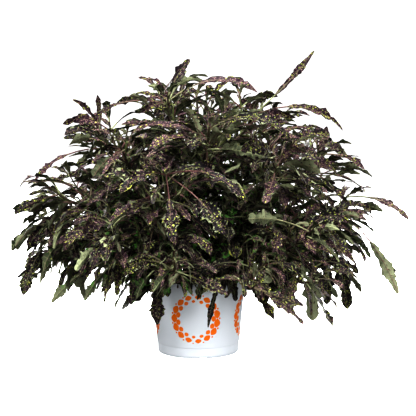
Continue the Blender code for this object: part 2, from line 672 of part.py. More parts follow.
def make_pot(look):
    """The pot: a tapered wall with a rim and a step ring, a foot ring, a pad, and a channel with holes."""
    rim_under = POT_HEIGHT - POT_RIM_DROP
    step_radius = wall_radius(POT_STEP_HEIGHT)
    raised = CHANNEL_HEIGHT + POT_WALL
    pot = turned(
        "pot",
        (
            (0, 0),
            (PAD_RADIUS, 0),
            (PAD_RADIUS + CHANNEL_SLOPE, CHANNEL_HEIGHT),
            (CHANNEL_OUTER_RADIUS - CHANNEL_SLOPE, CHANNEL_HEIGHT),
            (CHANNEL_OUTER_RADIUS, 0),
            (POT_BASE_RADIUS - EDGE_CHAMFER, 0),
            (POT_BASE_RADIUS, EDGE_CHAMFER),
            (step_radius - POT_STEP_OUT, POT_STEP_HEIGHT),
            (step_radius, POT_STEP_HEIGHT + POT_STEP_OUT),
            (POT_WALL_TOP_RADIUS, rim_under),
            (POT_RIM_RADIUS, rim_under),
            (POT_RIM_RADIUS, POT_HEIGHT - EDGE_CHAMFER),
            (POT_RIM_RADIUS - EDGE_CHAMFER, POT_HEIGHT),
            (POT_WALL_TOP_RADIUS - POT_WALL, POT_HEIGHT),
            (POT_WALL_TOP_RADIUS - POT_WALL, rim_under),
            (step_radius - POT_WALL, POT_STEP_HEIGHT),
            (POT_BASE_RADIUS - POT_WALL - EDGE_CHAMFER, POT_WALL),
            (CHANNEL_OUTER_RADIUS + POT_WALL, POT_WALL),
            (CHANNEL_OUTER_RADIUS - CHANNEL_SLOPE + POT_WALL, raised),
            (PAD_RADIUS + CHANNEL_SLOPE - POT_WALL, raised),
            (PAD_RADIUS - POT_WALL, POT_WALL),
            (0, POT_WALL),
        ),
        look,
    )
    middle = (PAD_RADIUS + CHANNEL_OUTER_RADIUS) / 2
    cutters = []
    for i in range(DRAIN_HOLES):
        a = 2 * math.pi * (i + 0.5) / DRAIN_HOLES
        foot = np.array((middle * math.cos(a), middle * math.sin(a), CHANNEL_HEIGHT - CUT_SPARE))
        hole = np.array((foot, foot + (POT_WALL + 2 * CUT_SPARE) * UP))
        cutters.append(mesh_object("drain_hole", *tube_mesh(hole, (DRAIN_RADIUS, DRAIN_RADIUS), 8)))
    for i in range(FOOT_NOTCHES):
        a = FIRST_NOTCH + 2 * math.pi * i / FOOT_NOTCHES
        out = np.array((math.cos(a), math.sin(a), 0.0))
        inner, outer = CHANNEL_OUTER_RADIUS - CUT_SPARE, POT_BASE_RADIUS + CUT_SPARE
        across_half = 0.5 * NOTCH_WIDTH * np.array((-out[1], out[0], 0.0))
        below, above = -CUT_SPARE * UP, NOTCH_HEIGHT * UP
        corners = [
            radius * out + side * across_half + level
            for level in (below, above)
            for radius, side in ((inner, -1), (outer, -1), (outer, 1), (inner, 1))
        ]
        sides = [(j, (j + 1) % 4, (j + 1) % 4 + 4, j + 4) for j in range(4)]
        cutters.append(mesh_object("foot_notch", corners, [(3, 2, 1, 0), (4, 5, 6, 7), *sides]))
    combine(pot, cutters, "DIFFERENCE")
    return pot


def make_soil(look, bases):
    """The compost: it fills the pot to a little below the rim, with a lumpy top and a hole for each stem."""
    inner_top = wall_radius(SOIL_TOP) - POT_WALL - FIT_GAP
    floor = POT_WALL + FIT_GAP
    raised = CHANNEL_HEIGHT + floor
    gap = POT_WALL + FIT_GAP
    soil = turned(
        "potting_soil",
        (
            (0, floor),
            (PAD_RADIUS - gap, floor),
            (PAD_RADIUS + CHANNEL_SLOPE - gap, raised),
            (CHANNEL_OUTER_RADIUS - CHANNEL_SLOPE + gap, raised),
            (POT_BASE_RADIUS - gap - EDGE_CHAMFER, floor),
            (wall_radius(POT_STEP_HEIGHT) - gap, POT_STEP_HEIGHT),
            (inner_top, SOIL_TOP),
            *((radius, SOIL_TOP) for radius in reversed(SOIL_RINGS)),
            (0, SOIL_TOP),
        ),
        look,
    )
    for vertex in soil.data.vertices:
        x, y, z = vertex.co
        inside = 1 - math.hypot(x, y) / inner_top
        if z > SOIL_TOP - FIT_GAP and inside > SOIL_FLAT_EDGE:
            along_x, along_y = 2 * math.pi * x / LUMP_LENGTH, 2 * math.pi * y / LUMP_LENGTH
            long_lumps = math.sin(along_x + 2) * math.cos(along_y)
            short_lumps = math.sin(2 * (along_x - along_y))
            relief = SOIL_CROWN * inside + LONG_LUMPS * long_lumps + SHORT_LUMPS * short_lumps
            vertex.co.z = SOIL_TOP + SOIL_RELIEF * relief
    holes = []
    for base in bases:
        ends = np.array((base - (STEM_DEPTH + FIT_GAP) * UP, base + 5 * CUT_SPARE * UP))
        holes.append(mesh_object("stem_hole", *tube_mesh(ends, (HOLE_RADIUS, HOLE_RADIUS), 8)))
    combine(soil, holes, "DIFFERENCE")
    return soil


def make_shoot(k, branches, leaves, look):
    """Shoot k: its leader, with its side branches and its leaves fused to it."""
    leader, *sides = (branch for branch in branches if branch.shoot == k)
    name = f"leafy_shoot_{k + 1:02d}"
    shoot = mesh_object(name, *tube_mesh(leader.points, leader.radii), look, leader.points[1])
    pieces = [tube_mesh(branch.points, branch.radii) for branch in sides]
    pieces += [leaf_mesh(leaf) for leaf in leaves if leaf.shoot == k]
    combine(shoot, [mesh_object("piece", *piece) for piece in pieces], "UNION")
    return shoot


def main():
    for thing in list(bpy.data.objects):
        bpy.data.objects.remove(thing)
    plastic = material("pot_plastic", (0.80, 0.84, 0.88), 0.42)
    compost = material("potting_compost", (0.045, 0.030, 0.020), 0.95)
    foliage = material("coleus_foliage", (0.055, 0.045, 0.030), 0.55)
    branches, leaves = grow()
    leaders = branches[::TIPS_PER_SHOOT]
    pot = make_pot(plastic)
    make_soil(compost, [leader.points[1] for leader in leaders])
    for k in range(SHOOTS):
        make_shoot(k, branches, leaves, foliage)
    pot.data.shade_smooth()
    pot.data.set_sharp_from_angle(angle=math.radians(30))


main()
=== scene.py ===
"""The finished look of a potted coleus: its leafy shoots, its printed plastic pot and its compost.

Every shoot stands exactly where the model's shoot stands. Its leaves follow the same rule from the same seed,
as fine closed skins with toothed and puckered edges, and side sprigs fill the plant between them.
"""

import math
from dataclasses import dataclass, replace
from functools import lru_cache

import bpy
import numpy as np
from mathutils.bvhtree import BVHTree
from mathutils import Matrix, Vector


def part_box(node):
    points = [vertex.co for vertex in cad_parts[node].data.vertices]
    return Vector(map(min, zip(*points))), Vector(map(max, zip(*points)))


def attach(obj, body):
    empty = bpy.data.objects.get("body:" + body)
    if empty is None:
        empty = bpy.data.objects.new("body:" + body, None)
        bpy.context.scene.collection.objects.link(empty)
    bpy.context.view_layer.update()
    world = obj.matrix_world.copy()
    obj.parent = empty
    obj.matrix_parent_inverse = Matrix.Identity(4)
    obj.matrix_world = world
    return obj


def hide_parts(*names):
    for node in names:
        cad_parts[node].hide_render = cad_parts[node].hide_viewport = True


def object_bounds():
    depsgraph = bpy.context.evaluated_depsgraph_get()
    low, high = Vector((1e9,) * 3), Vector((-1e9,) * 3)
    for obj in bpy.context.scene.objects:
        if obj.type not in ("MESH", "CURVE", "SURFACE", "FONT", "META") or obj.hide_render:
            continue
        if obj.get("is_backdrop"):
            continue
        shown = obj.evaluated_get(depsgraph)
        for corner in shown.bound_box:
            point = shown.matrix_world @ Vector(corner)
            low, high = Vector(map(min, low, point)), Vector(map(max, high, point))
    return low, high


bl_info = {
    "name": "Potted coleus",
    "version": (1, 0, 0),
    "blender": (4, 5, 0),
    "location": "View3D > Sidebar > Coleus",
    "description": "Builds the skins, finishes and studio of a potted coleus",
    "category": "Object",
}

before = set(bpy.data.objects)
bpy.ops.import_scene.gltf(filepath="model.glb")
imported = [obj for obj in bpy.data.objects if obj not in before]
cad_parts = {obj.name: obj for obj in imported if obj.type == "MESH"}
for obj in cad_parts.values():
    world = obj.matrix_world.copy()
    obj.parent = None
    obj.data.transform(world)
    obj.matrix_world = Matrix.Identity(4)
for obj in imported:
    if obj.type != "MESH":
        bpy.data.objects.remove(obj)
CAD_BOX = tuple(np.array(corner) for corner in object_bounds())

UP = np.array((0.0, 0.0, 1.0))
# Two directions to measure sideways from, the second for what is steeper than STEEP
ASIDE, ASIDE_OF_STEEP, STEEP = (0.31, 0.17, 1.0), (1.0, 0.2, 0.1), 0.9
BODY = "root"
POT_SLOT, COMPOST_SLOT, FOLIAGE_SLOT = "pot_plastic", "potting_compost", "coleus_foliage"

# Pot
POT_HIGH = np.array(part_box("pot")[1])
POT_HEIGHT = float(POT_HIGH[2])
POT_BASE_RADIUS = 0.0742
POT_WALL_TOP_RADIUS = 0.0862
POT_RIM_RADIUS = float(POT_HIGH[0])
POT_RIM_DROP = 0.008
POT_WALL = 0.0014
POT_STEP_HEIGHT = 0.018
POT_STEP_OUT = 0.0008
EDGE_CHAMFER = 0.0010
CORNER_ROUNDING = 0.0009
RIM_UNDER_SLOPE = 0.0002
POLE_RADIUS = 0.0005
POT_SIDES = 192
CUT_EDGE = math.radians(35)
PAD_RADIUS = 0.048
CHANNEL_OUTER_RADIUS = 0.0670
CHANNEL_HEIGHT = 0.0040
CHANNEL_SLOPE = 0.0016
DRAIN_HOLES = 6
DRAIN_RADIUS = 0.0040
DRAIN_SIDES = 24
DRAIN_CUT_FROM, DRAIN_CUT_LENGTH = 0.002, 0.008
FOOT_NOTCHES = 4
NOTCH_WIDTH = 0.0125
NOTCH_HEIGHT = 0.0030
NOTCH_FULLNESS = 1.35
NOTCH_BELOW, NOTCH_INSIDE = 0.0014, 0.0008
FIRST_NOTCH = math.radians(-83)

# The print. Each row of motifs: how far it lies outside the ring's middle, half the length and half the width
# of a motif, and the power of its outline, which is 1 for a lozenge and 2 for an oval
FIRST_RING = math.radians(-93)
LOZENGES = (0.0008, 0.0080, 0.0058, 1.5)
OVALS = (-0.0068, 0.0062, 0.0052, 1.7)
DOTS = (0.0050, 0.0018, 0.0016, 2.0)
MOTIF_SIZE, MOTIF_SWELL, OVAL_LOSS = 0.66, 0.40, 0.2
MOTIF_EDGE = (0.92, 1.08)
INK_BAND, INK_FADE = 0.0006, 0.0002

# Compost
SOIL_TOP = 0.1235
FIT_GAP = 0.0004
COMPOST_STREAM, CRUMB_STREAM = 60000, 61000
COMPOST_SIDES, COMPOST_ROWS = 96, 26
TOP_POLE_RADIUS = 0.0015
LUMP_SIZES = (0.030, 0.014, 0.007, 0.004)
LUMP_WAVES = 4
LUMP_HEIGHT = 0.045
SOIL_RISE = 0.0012
SOIL_MARGIN = 0.006
CRUMB_SIDES, CRUMB_ROWS = 6, 3
CRUMB_SIZE = (0.0012, 0.0034)
CRUMB_SPREAD, CRUMB_STRETCH = (0.6, 1.1), (0.5, 1.1)
CRUMB_SEAT = 0.0013

# Shoots: the outer ones make the dome, and the short ones fill it just above the rim
SEED = 11
FEATURE_STREAM = 1000
OUTER_SHOOTS = 10
SHORT_SHOOTS = 3
SHOOTS = OUTER_SHOOTS + SHORT_SHOOTS
TIPS_PER_SHOOT = 3
CROWN = np.array((0.0, 0.0, 0.1295))
SIDE_REACH = 0.300
TOP_REACH = 0.350
SHORT_REACH = 0.185
REACH_SPREAD = 0.05
WIDEST_POLAR = math.radians(90)
LOWEST_TIP = 0.1695
SHORT_POLAR = math.radians(70)
GOLDEN_TURN = math.radians(137.508)
FIRST_TURN = math.radians(-76)
FIRST_SHORT_TURN = math.radians(-82)
TIP_SPREAD = 0.29
SHORT_SPREAD = 0.62
TIP_LIFT = 0.75
BASE_RING = 0.058
SHORT_BASE_RING = 0.066
STEM_DEPTH = 0.030
STEM_LEAN = 0.25
STEM_BASE_RADIUS = 0.0046
FORK_RADIUS = 0.0034
STEM_TIP_RADIUS = 0.0019
LEADER_POINTS = 9
SIDE_POINTS = 6
FIRST_FORK = 3
ARCH_REACH = 0.42
FORK_ASIDE = 0.8
TANGENT_STEP = 0.008
FIRST_SHOOT = 0.4
HOLE_LIP = 0.001

# Leaves, from the youngest pair at a tip to the oldest
NODE_BACK = (0.006, 0.026, 0.054, 0.092)
BLADE_LENGTH = (0.044, 0.074, 0.090, 0.092)
PETIOLE_LENGTH = (0.008, 0.018, 0.030, 0.036)
DIVERGENCE = tuple(math.radians(angle) for angle in (30, 50, 64, 74))
TURN_SPREAD = 0.22
ANGLE_SPREAD = 0.12
ROLL_SPREAD = 0.36
SWEEP_SPREAD = 0.25
TWIST_SPREAD = 0.45
NODE_SPREAD = (0.90, 1.12)
SIZE_SPREAD = (0.86, 1.16)
LENGTH_SPREAD = (0.92, 1.12)
WIDTH_SPREAD = (0.72, 1.20)
FOLD = tuple(math.radians(angle) for angle in (8, 22))
WAVE = (0.12, 0.24)
OUTWARD_PULL = 0.22
LOWEST_RISE = math.radians(-32)
TURNED_SHARE = 1 / 7
TURNED_TWIST = (1.9, 2.9)
LIGHT_UP, LIGHT_OUT, LIGHT_ALONG = 0.70, 0.80, 0.20
OLDEST = len(NODE_BACK) - 1
WIDTH_SHARE = 0.28
RIB_THICKNESS = 0.0016
PETIOLE_HALF = 0.0012
WIDEST = 0.56
TIP_POWER = 0.75
LOBES = 0.26
DROOP = (0.60, 1.42)
TOP_DROOP_LOSS = 0.75
YOUNG_DROOP = 0.5
BEND_POWER = 1.3
MIDRIB_STEPS = 32
MIDDLE_SHARE = 0.45
EDGE_LOBES, LOBE_STAGGER = 2.1, 0.5
EDGE_WAVES, WAVE_STAGGER, WAVE_START = 1.6, 0.3, 4
CLEARANCE = 0.0008
JOINED_SHARE = 0.16
GUARD_TOP, GUARD_SIDE, GUARD_SIDES = 0.001, 0.003, 24
TRIES = 14
LOWEST_LEAF = 0.0495
SIGHT_HEIGHT = 0.1165
SIGHT_SLOPE = 0.17
SIGHT_HALF_WIDTH = 0.094
SIGHT_DEPTH = 0.03
YOUNG_BLADE = 0.056

# The leaves that stand out in a front view. The viewer's eye is at VIEWER. Each leaf's root and tip are given
# as they are seen in the upright plane through the pot's axis, to the right and up, with their depth in front
VIEWER = np.array((0.018, -2.30, 0.5105))
LIGHT, FRONT, BACK = "light", "front", "back"
FEATURES = (
    # root, tip, depth, width, bend, which way the upper face looks
    ((0.144, 0.471), (0.211, 0.552), 0.06, 0.012, -0.2, FRONT),
    ((-0.002, 0.483), (-0.015, 0.536), 0.03, 0.018, 0.5, FRONT),
    ((-0.024, 0.478), (-0.103, 0.504), 0.05, 0.009, 1.1, LIGHT),
    ((0.000, 0.487), (0.109, 0.475), 0.06, 0.019, 1.4, LIGHT),
    ((-0.052, 0.437), (-0.055, 0.480), 0.03, 0.010, 0.2, FRONT),
    ((-0.078, 0.433), (-0.088, 0.463), 0.02, 0.014, 0.3, FRONT),
    ((0.040, 0.483), (0.086, 0.471), 0.04, 0.012, 1.0, LIGHT),
    ((0.095, 0.475), (0.066, 0.427), 0.07, 0.026, 0.6, FRONT),
    ((-0.034, 0.463), (-0.078, 0.433), 0.07, 0.018, 0.7, FRONT),
    ((-0.130, 0.441), (-0.188, 0.430), 0.05, 0.014, 1.0, LIGHT),
    ((-0.066, 0.467), (-0.115, 0.473), 0.01, 0.009, 0.9, LIGHT),
    ((0.000, 0.420), (-0.119, 0.405), 0.14, 0.018, 1.1, LIGHT),
    ((-0.150, 0.441), (-0.229, 0.463), 0.02, 0.012, 1.0, LIGHT),
    ((-0.140, 0.435), (-0.183, 0.472), 0.00, 0.010, 0.8, LIGHT),
    ((-0.152, 0.400), (-0.244, 0.398), 0.04, 0.022, 1.3, LIGHT),
    ((-0.180, 0.372), (-0.246, 0.393), -0.03, 0.014, 0.6, FRONT),
    ((-0.226, 0.335), (-0.302, 0.309), 0.02, 0.014, 1.1, LIGHT),
    ((-0.270, 0.305), (-0.350, 0.285), 0.00, 0.013, 0.9, FRONT),
    ((-0.259, 0.250), (-0.337, 0.193), 0.05, 0.014, 1.0, BACK),
    ((-0.280, 0.178), (-0.324, 0.102), 0.06, 0.026, 0.7, FRONT),
    ((-0.246, 0.146), (-0.272, 0.088), 0.08, 0.016, 0.5, BACK),
    ((-0.194, 0.150), (-0.211, 0.091), 0.14, 0.014, 0.5, BACK),
    ((-0.158, 0.165), (-0.171, 0.109), 0.18, 0.022, 0.5, FRONT),
    ((-0.096, 0.140), (-0.076, 0.046), 0.15, 0.025, 0.5, FRONT),
    ((0.029, 0.143), (0.018, 0.041), 0.13, 0.010, 0.4, FRONT),
    ((0.043, 0.135), (0.069, 0.091), 0.14, 0.015, 0.6, LIGHT),
    ((0.223, 0.354), (0.283, 0.395), 0.03, 0.026, 0.5, FRONT),
    ((0.168, 0.456), (0.264, 0.406), 0.02, 0.024, 1.3, LIGHT),
    ((0.250, 0.358), (0.305, 0.334), 0.00, 0.015, 0.9, LIGHT),
    ((0.310, 0.295), (0.387, 0.243), 0.02, 0.015, 0.9, LIGHT),
    ((0.323, 0.205), (0.370, 0.104), 0.04, 0.022, 0.6, BACK),
    ((0.208, 0.154), (0.212, 0.054), 0.12, 0.034, 0.4, BACK),
    ((0.268, 0.183), (0.276, 0.076), 0.08, 0.028, 0.5, FRONT),
    ((0.159, 0.178), (0.162, 0.065), 0.18, 0.022, 0.4, FRONT),
    ((0.226, 0.165), (0.237, 0.085), 0.10, 0.024, 0.4, FRONT),
    ((-0.160, 0.356), (-0.192, 0.322), 0.14, 0.024, 0.5, BACK),
    ((0.128, 0.279), (0.092, 0.244), 0.24, 0.026, 0.6, BACK),
    ((-0.015, 0.302), (-0.143, 0.291), 0.31, 0.024, 1.0, LIGHT),
    ((-0.006, 0.304), (0.089, 0.274), 0.31, 0.016, 1.2, LIGHT),
    ((0.018, 0.287), (0.051, 0.217), 0.31, 0.034, 0.5, FRONT),
    ((-0.015, 0.269), (-0.048, 0.202), 0.31, 0.026, 0.6, FRONT),
    ((0.040, 0.372), (0.168, 0.389), 0.24, 0.020, 1.5, LIGHT),
    ((0.009, 0.358), (-0.061, 0.332), 0.28, 0.020, 1.2, LIGHT),
    ((-0.060, 0.177), (-0.056, 0.099), 0.15, 0.020, 0.5, FRONT),
    ((-0.028, 0.175), (-0.012, 0.107), 0.16, 0.018, 0.5, FRONT),
    ((0.004, 0.173), (0.006, 0.113), 0.14, 0.016, 0.5, FRONT),
    ((0.062, 0.177), (0.044, 0.117), 0.15, 0.018, 0.5, BACK),
    ((0.080, 0.173), (0.092, 0.111), 0.14, 0.020, 0.5, FRONT),
    ((-0.090, 0.191), (-0.106, 0.117), 0.16, 0.020, 0.6, LIGHT),
)
LONGEST_BLADE_SHARE = 0.88
FEATURE_TWIST_SPREAD = 0.30
FEATURE_FOLD = tuple(math.radians(angle) for angle in (8, 18))
FEATURE_WAVE = (0.12, 0.22)
ROOT_BEHIND = 0.010
STEM_SHARES = np.linspace(0.35, 0.97, 28)
LOOKS = {LIGHT: np.array((0, -0.6, 0.7)), FRONT: np.array((0, -1, 0.25)), BACK: np.array((0, 1, 0))}

# How far a leaf may be turned, lifted and shrunk at each try to find it room
HEADING_TRY, RISE_TRY, BEND_TRY, ROLL_TRY = 0.35, 0.22, 0.25, 0.25
SHRINK_TRY = (0.88, 1.0)
STEEPEST = math.radians(82)

# Where the left edge, the rib and the right edge of each row of a leaf's solid are, as shares of the blade
BLADE_ROWS = ((0.0, 0.0, 0.0), (0.22, 0.28, 0.36), (0.68, 0.62, 0.56))
YOUNG_ROWS = BLADE_ROWS[1:]

# Side sprigs, which fill the plant between the stems
SPRIG_STREAM = 7000
SPRIG_FIRST = 0.030
SPRIG_LENGTH = (0.030, 0.082)
SPRIG_SPREAD = (math.radians(38), math.radians(66))
SPRIG_TURN_SPREAD = 0.3
SPRIG_OUTWARD, SPRIG_UPWARD, SPRIG_LIFT = 0.3, 0.15, 0.02
SPRIG_RADII = (0.0018, 0.0011)
SPRIG_POINTS = 5
SPRIG_NODES = 3
SPRIG_LEAF_SIZE = (0.85, 1.15)
SPRIG_TRIES = 6
SPRIG_DROP = 0.006
SPRIG_LEAF_SLIM = 0.86
HANG_BELOW, HANG_RAMP = 0.29, 0.10
DOME_SHARE = 0.95
DOME_POWER = 6
SPRIG_LOWEST = 0.174
SPRIG_LEAF_LOWEST = 0.108
CROWN_REACH = 1.14

# The fine skins: how many rows a petiole and a tooth have, and how far across each column lies
PETIOLE_ROWS, SPRIG_PETIOLE_ROWS = 4, 2
TOOTH_ROWS = (0.0, 0.4, 0.8)
BROAD_COLUMNS = (-1.0, -0.66, -0.33, 0.0, 0.33, 0.66, 1.0)
SPRIG_COLUMNS = (-1.0, -0.5, 0.0, 0.5, 1.0)
MAIN_TEETH, YOUNG_TEETH, SPRIG_TEETH = 8, 5, 5
TOOTH_DEPTH = 0.42
TOOTH_CUTS = (0.35, 1.0)
TOOTH_DRIFT, DRIFT_WAVES = 0.045, 1.5
PUCKER = 0.12
RUFFLE, RUFFLES_PER_TOOTH, RUFFLE_STAGGER = 0.20, 0.5, 0.25
TAILED_SHARE = 0.14
TAIL_DEPTH = 0.72
TAIL_RISE = 0.5
TAIL_FIRST, TAIL_KNOB = 0.64, 0.96
TAILED_WIDTH = 0.021
BROAD_WIDTH, PALEST = 0.023, 0.25
LONG_STALK, PURPLEST = 0.038, 0.8
BLADE_HALF_THICKNESS = 0.00026
TIP_LOSS = 0.85
# How fast the teeth's drift, the teeth, a tail and a stalk's roundness begin and end along the blade
DRIFT_FADE, TOOTH_FADES, TAIL_FADES, STALK_FADE = 6, (5, 4), (9, 10), 6
RIB_DROP = 0.0007
STEM_RING = 12
SPRIG_RING = 6
STEM_STEPS = 4
SQUARENESS = 0.13
SHARP_EDGE = math.radians(70)
LEAF_ROOM = 0.150
LEAF_STREAM, STEM_STREAM = 90000, 80000
FIRST_SMALL_LEAF = 100
UPPER, UNDERSIDE, STALK, STEM = range(4)

# Leaf finishes: how far from the crown the painted shade inside the plant begins and ends, between which
# heights it fades on hanging leaves, and the sizes of flecks, patches, grain and relief
PAINTED_SHADE_REACH = (0.50 * SIDE_REACH, 1.02 * SIDE_REACH)
PAINTED_SHADE_HEIGHT = (0.085, 0.150)
# Heights over which the extra flecks of low leaves, the painted light on low undersides and the woody stems
# fade out
LOW_FLECKS, LOW_PAINTED_LIGHT, WOODY = (0.10, 0.30), (0.09, 0.20), (0.13, 0.26)
GREEN_LEAVES, GREEN_PATCHES = (0.50, 0.66), (0.01, 0.07)
VEIN_SLANT, VEIN_START, VEIN_WIDTH = 0.55, 0.35, (0.03, 0.12)
DUSK_SIZE = 0.78
FLECK_STRETCH = (0.8, 1.0, 1.0)
FLECK_BEND, FLECK_BEND_SIZE = 1.3, 1.5
FLECK_REACH, FLECK_REACH_SPREAD, FLECK_EDGE = 0.26, 0.22, 0.07
RIB_EDGE, RIB_WIDTH, RIB_SWELL = 0.0004, 0.0010, 0.0018
UNDER_RIB_WIDTH = (0.0005, 0.0013)
UPPER_PATCH, UPPER_GRAIN, UPPER_RELIEF = 0.016, 0.0016, 0.0012
UNDER_PATCH, UNDER_GRAIN, UNDER_RELIEF = 0.011, 0.0013, 0.0005
STALK_STREAK, STALK_STRETCH, STALK_RELIEF = 0.004, (0.25, 1.0, 1.0), 0.0003
BARK_STREAK, BARK_STRETCH, BARK_RELIEF = 0.003, (0.12, 1.0, 1.0), 0.0005

# Pot and compost finishes
PLASTIC_GRAIN, PLASTIC_CLOUD, PLASTIC_RELIEF = 0.0009, 0.03, 0.00006
# Height over which the painted shade at the pot's foot fades out
FOOT_SHADE_HEIGHT = 0.006
LUMP_GRAIN, FIBRE_WIDTH, FIBRE_STRETCH, LUMP_RELIEF = 0.005, 0.002, (1.0, 0.25, 1.0), 0.0012

# Studio. Each light: its place, its size, the height on the pot's axis that it looks at, and the setting that
# holds its power
FLOOR_RADIUS, WALL_CURVE, WALL_HEIGHT = 6.0, 2.0, 9.0
FLOOR_MIDDLE, FLOOR_ROWS, CURVE_ROWS, FLOOR_SIDES = 0.5, 8, 12, 64
PAPER_CLOUD, FLOOR_GLOW = 0.4, 0.97
CAMERA_DOWN = math.radians(6.1)
SENSOR_WIDTH = 36
LIGHTS = {
    "key_light": ((-0.9, -2.0, 2.0), 1.0, 0.25, "key"),
    "fill_light": ((2.1, -1.7, 0.7), 1.5, 0.25, "fill"),
    "low_light": ((-1.3, -2.4, 0.15), 1.5, 0.06, "low"),
    "top_light": ((0.1, -0.3, 2.3), 1.2, 0.25, "top"),
    "back_light": ((-1.5, 2.1, 0.9), 1.5, 0.15, "back"),
    "back_fill_light": ((1.4, 2.2, 0.7), 1.5, 0.15, "back"),
}


def linear(red, green, blue):
    """A colour as seen on a screen, each part from 0 to 255, as the linear colour that a shader takes."""
    shares = np.array((red, green, blue)) / 255
    return tuple(np.where(shares <= 0.04045, shares / 12.92, ((shares + 0.055) / 1.055) ** 2.4).tolist())


def colour_setting(name, description, red, green, blue):
    """A colour property with its default as seen on a screen."""
    colour = linear(red, green, blue)
    return bpy.props.FloatVectorProperty(
        name=name, description=description, subtype="COLOR", size=3, min=0, max=1, default=colour
    )


def number_setting(name, description, number, **limits):
    """A property that holds a number: min, subtype, unit and precision as they are given."""
    return bpy.props.FloatProperty(name=name, description=description, default=number, **limits)


def length_setting(name, description, metres):
    """A length property in metres."""
    return number_setting(name, description, metres, subtype="DISTANCE", unit="LENGTH", min=0, precision=5)


def power_setting(name, description, watts):
    """A light's power in watts."""
    return number_setting(name, description, watts, unit="POWER", min=0)


def count_setting(name, description, count, least, most):
    """A property that holds a whole number."""
    return bpy.props.IntProperty(name=name, description=description, default=count, min=least, max=most)


class FoliageSettings(bpy.types.PropertyGroup):
    """Sizes and colours of the leaves and stems."""

    blade: colour_setting("Blade", "Dark ground of a leaf's upper face", 13, 8, 12)
    blade_light: colour_setting("Worn blade", "Paler purple-brown of a leaf's upper face", 52, 35, 44)
    dusk: colour_setting("Dusky fleck", "Dense dull flecks on the upper face", 150, 123, 117)
    fleck: colour_setting("Fleck", "Flecks on the upper face", 142, 153, 78)
    fleck_bright: colour_setting("Bright fleck", "The brightest flecks and the yellow margins", 188, 194, 94)
    underside: colour_setting("Underside", "Grey-green underside of a leaf", 130, 135, 108)
    underside_dark: colour_setting("Underside shade", "Older and shaded part of the underside", 44, 52, 34)
    # Painted shade: the nearly black colour that leaves deep inside the plant are painted towards
    inner: colour_setting("Inner leaf", "Leaves that grew in the shade inside the plant", 4, 5, 3)
    inner_green: colour_setting("Green inner leaf", "The few inner leaves that stayed green", 96, 156, 68)
    stalk: colour_setting("Stalk", "Pale leaf stalks", 154, 160, 122)
    stalk_purple: colour_setting("Purple stalk", "Stalks and ribs that have turned purple", 104, 74, 72)
    stem: colour_setting("Stem", "Young green stems", 108, 116, 74)
    stem_purple: colour_setting("Purple stem", "Stems that have turned purple", 46, 32, 32)
    fleck_size: length_setting("Fleck size", "Distance from fleck to fleck", 0.0029)
    sprig_step: length_setting("Sprig step", "Distance from one pair of side sprigs to the next", 0.018)


class PotSettings(bpy.types.PropertyGroup):
    """Sizes and colours of the printed pot."""

    plastic: colour_setting("Plastic", "White moulded plastic", 231, 235, 240)
    ink: colour_setting("Ink", "Printed ornament", 243, 128, 14)
    ring_radius: length_setting("Ring radius", "Middle of the printed ring", 0.0400)
    ring_height: length_setting("Ring height", "Height of the ring's middle above the floor", 0.0730)
    rings: count_setting("Rings", "Printed rings round the pot", 4, 1, 8)
    motifs: count_setting("Motifs", "Lozenges, ovals and dots in each ring", 15, 6, 60)


class CompostSettings(bpy.types.PropertyGroup):
    """Colours and crumbs of the compost."""

    dark: colour_setting("Compost", "Damp compost", 38, 27, 20)
    light: colour_setting("Fibre", "Dry fibres and bark in the compost", 96, 72, 50)
    crumbs: count_setting("Crumbs", "Loose crumbs on the top", 260, 0, 1000)


class StageSettings(bpy.types.PropertyGroup):
    """Camera, lights and floor."""

    floor: colour_setting("Floor", "Pale studio floor", 246, 246, 246)
    lens: number_setting("Lens", "Focal length in millimetres", 109, min=10)
    gamma: number_setting("Gamma", "Under 1 for deeper shadows", 0.70, min=0.1)
    sky: number_setting("Sky", "Strength of the white surround", 0.12, min=0)
    key: power_setting("Key light", "Power of the high light at the front left", 128)
    fill: power_setting("Fill light", "Power of the light at the front right", 80)
    low: power_setting("Low light", "Power of the light near the floor at the front left", 70)
    top: power_setting("Top light", "Power of the light above the plant", 94)
    back: power_setting("Back lights", "Power of each of the two lights behind the plant", 90)


def unit(v):
    """v at length one."""
    return v / np.linalg.norm(v)


def ramp(values):
    """The values, but no less than 0 and no more than 1."""
    return np.clip(values, 0, 1)


def heading_of(polar, azimuth):
    """The unit vector at a polar angle from +Z and an azimuth from +X."""
    return np.array(
        (math.sin(polar) * math.cos(azimuth), math.sin(polar) * math.sin(azimuth), math.cos(polar))
    )


def across(v):
    """Two unit vectors square to v and to each other."""
    side = unit(np.cross(v, ASIDE if abs(v[2]) < STEEP else ASIDE_OF_STEEP))
    return side, np.cross(v, side)


def arch(start, start_way, end, end_way, count):
    """count points of the cubic curve that leaves start along start_way and reaches end along end_way."""
    reach = ARCH_REACH * np.linalg.norm(end - start)
    corners = (start, start + reach * start_way, end - reach * end_way, end)
    t = np.linspace(0, 1, count)[:, None]
    weights = ((1 - t) ** 3, 3 * t * (1 - t) ** 2, 3 * t * t * (1 - t), t**3)
    return sum(w * c for w, c in zip(weights, corners))


@dataclass
class Branch:
    """A stretch of stem: its points from root to tip, its radius at both ends, and its shoot."""

    points: np.ndarray
    radii: tuple
    shoot: int

    @property
    def length(self):
        return float(np.linalg.norm(np.diff(self.points, axis=0), axis=1).sum())

    def back_from_tip(self, distance):
        """The point this far back from the tip, and the stem's direction there."""
        steps = np.linalg.norm(np.diff(self.points, axis=0), axis=1)
        run = np.concatenate(([0.0], np.cumsum(steps[::-1])))
        line = self.points[::-1]
        place = np.array([np.interp(distance, run, line[:, i]) for i in range(3)])
        below = np.array([np.interp(distance + TANGENT_STEP, run, line[:, i]) for i in range(3)])
        return place, unit(place - below)


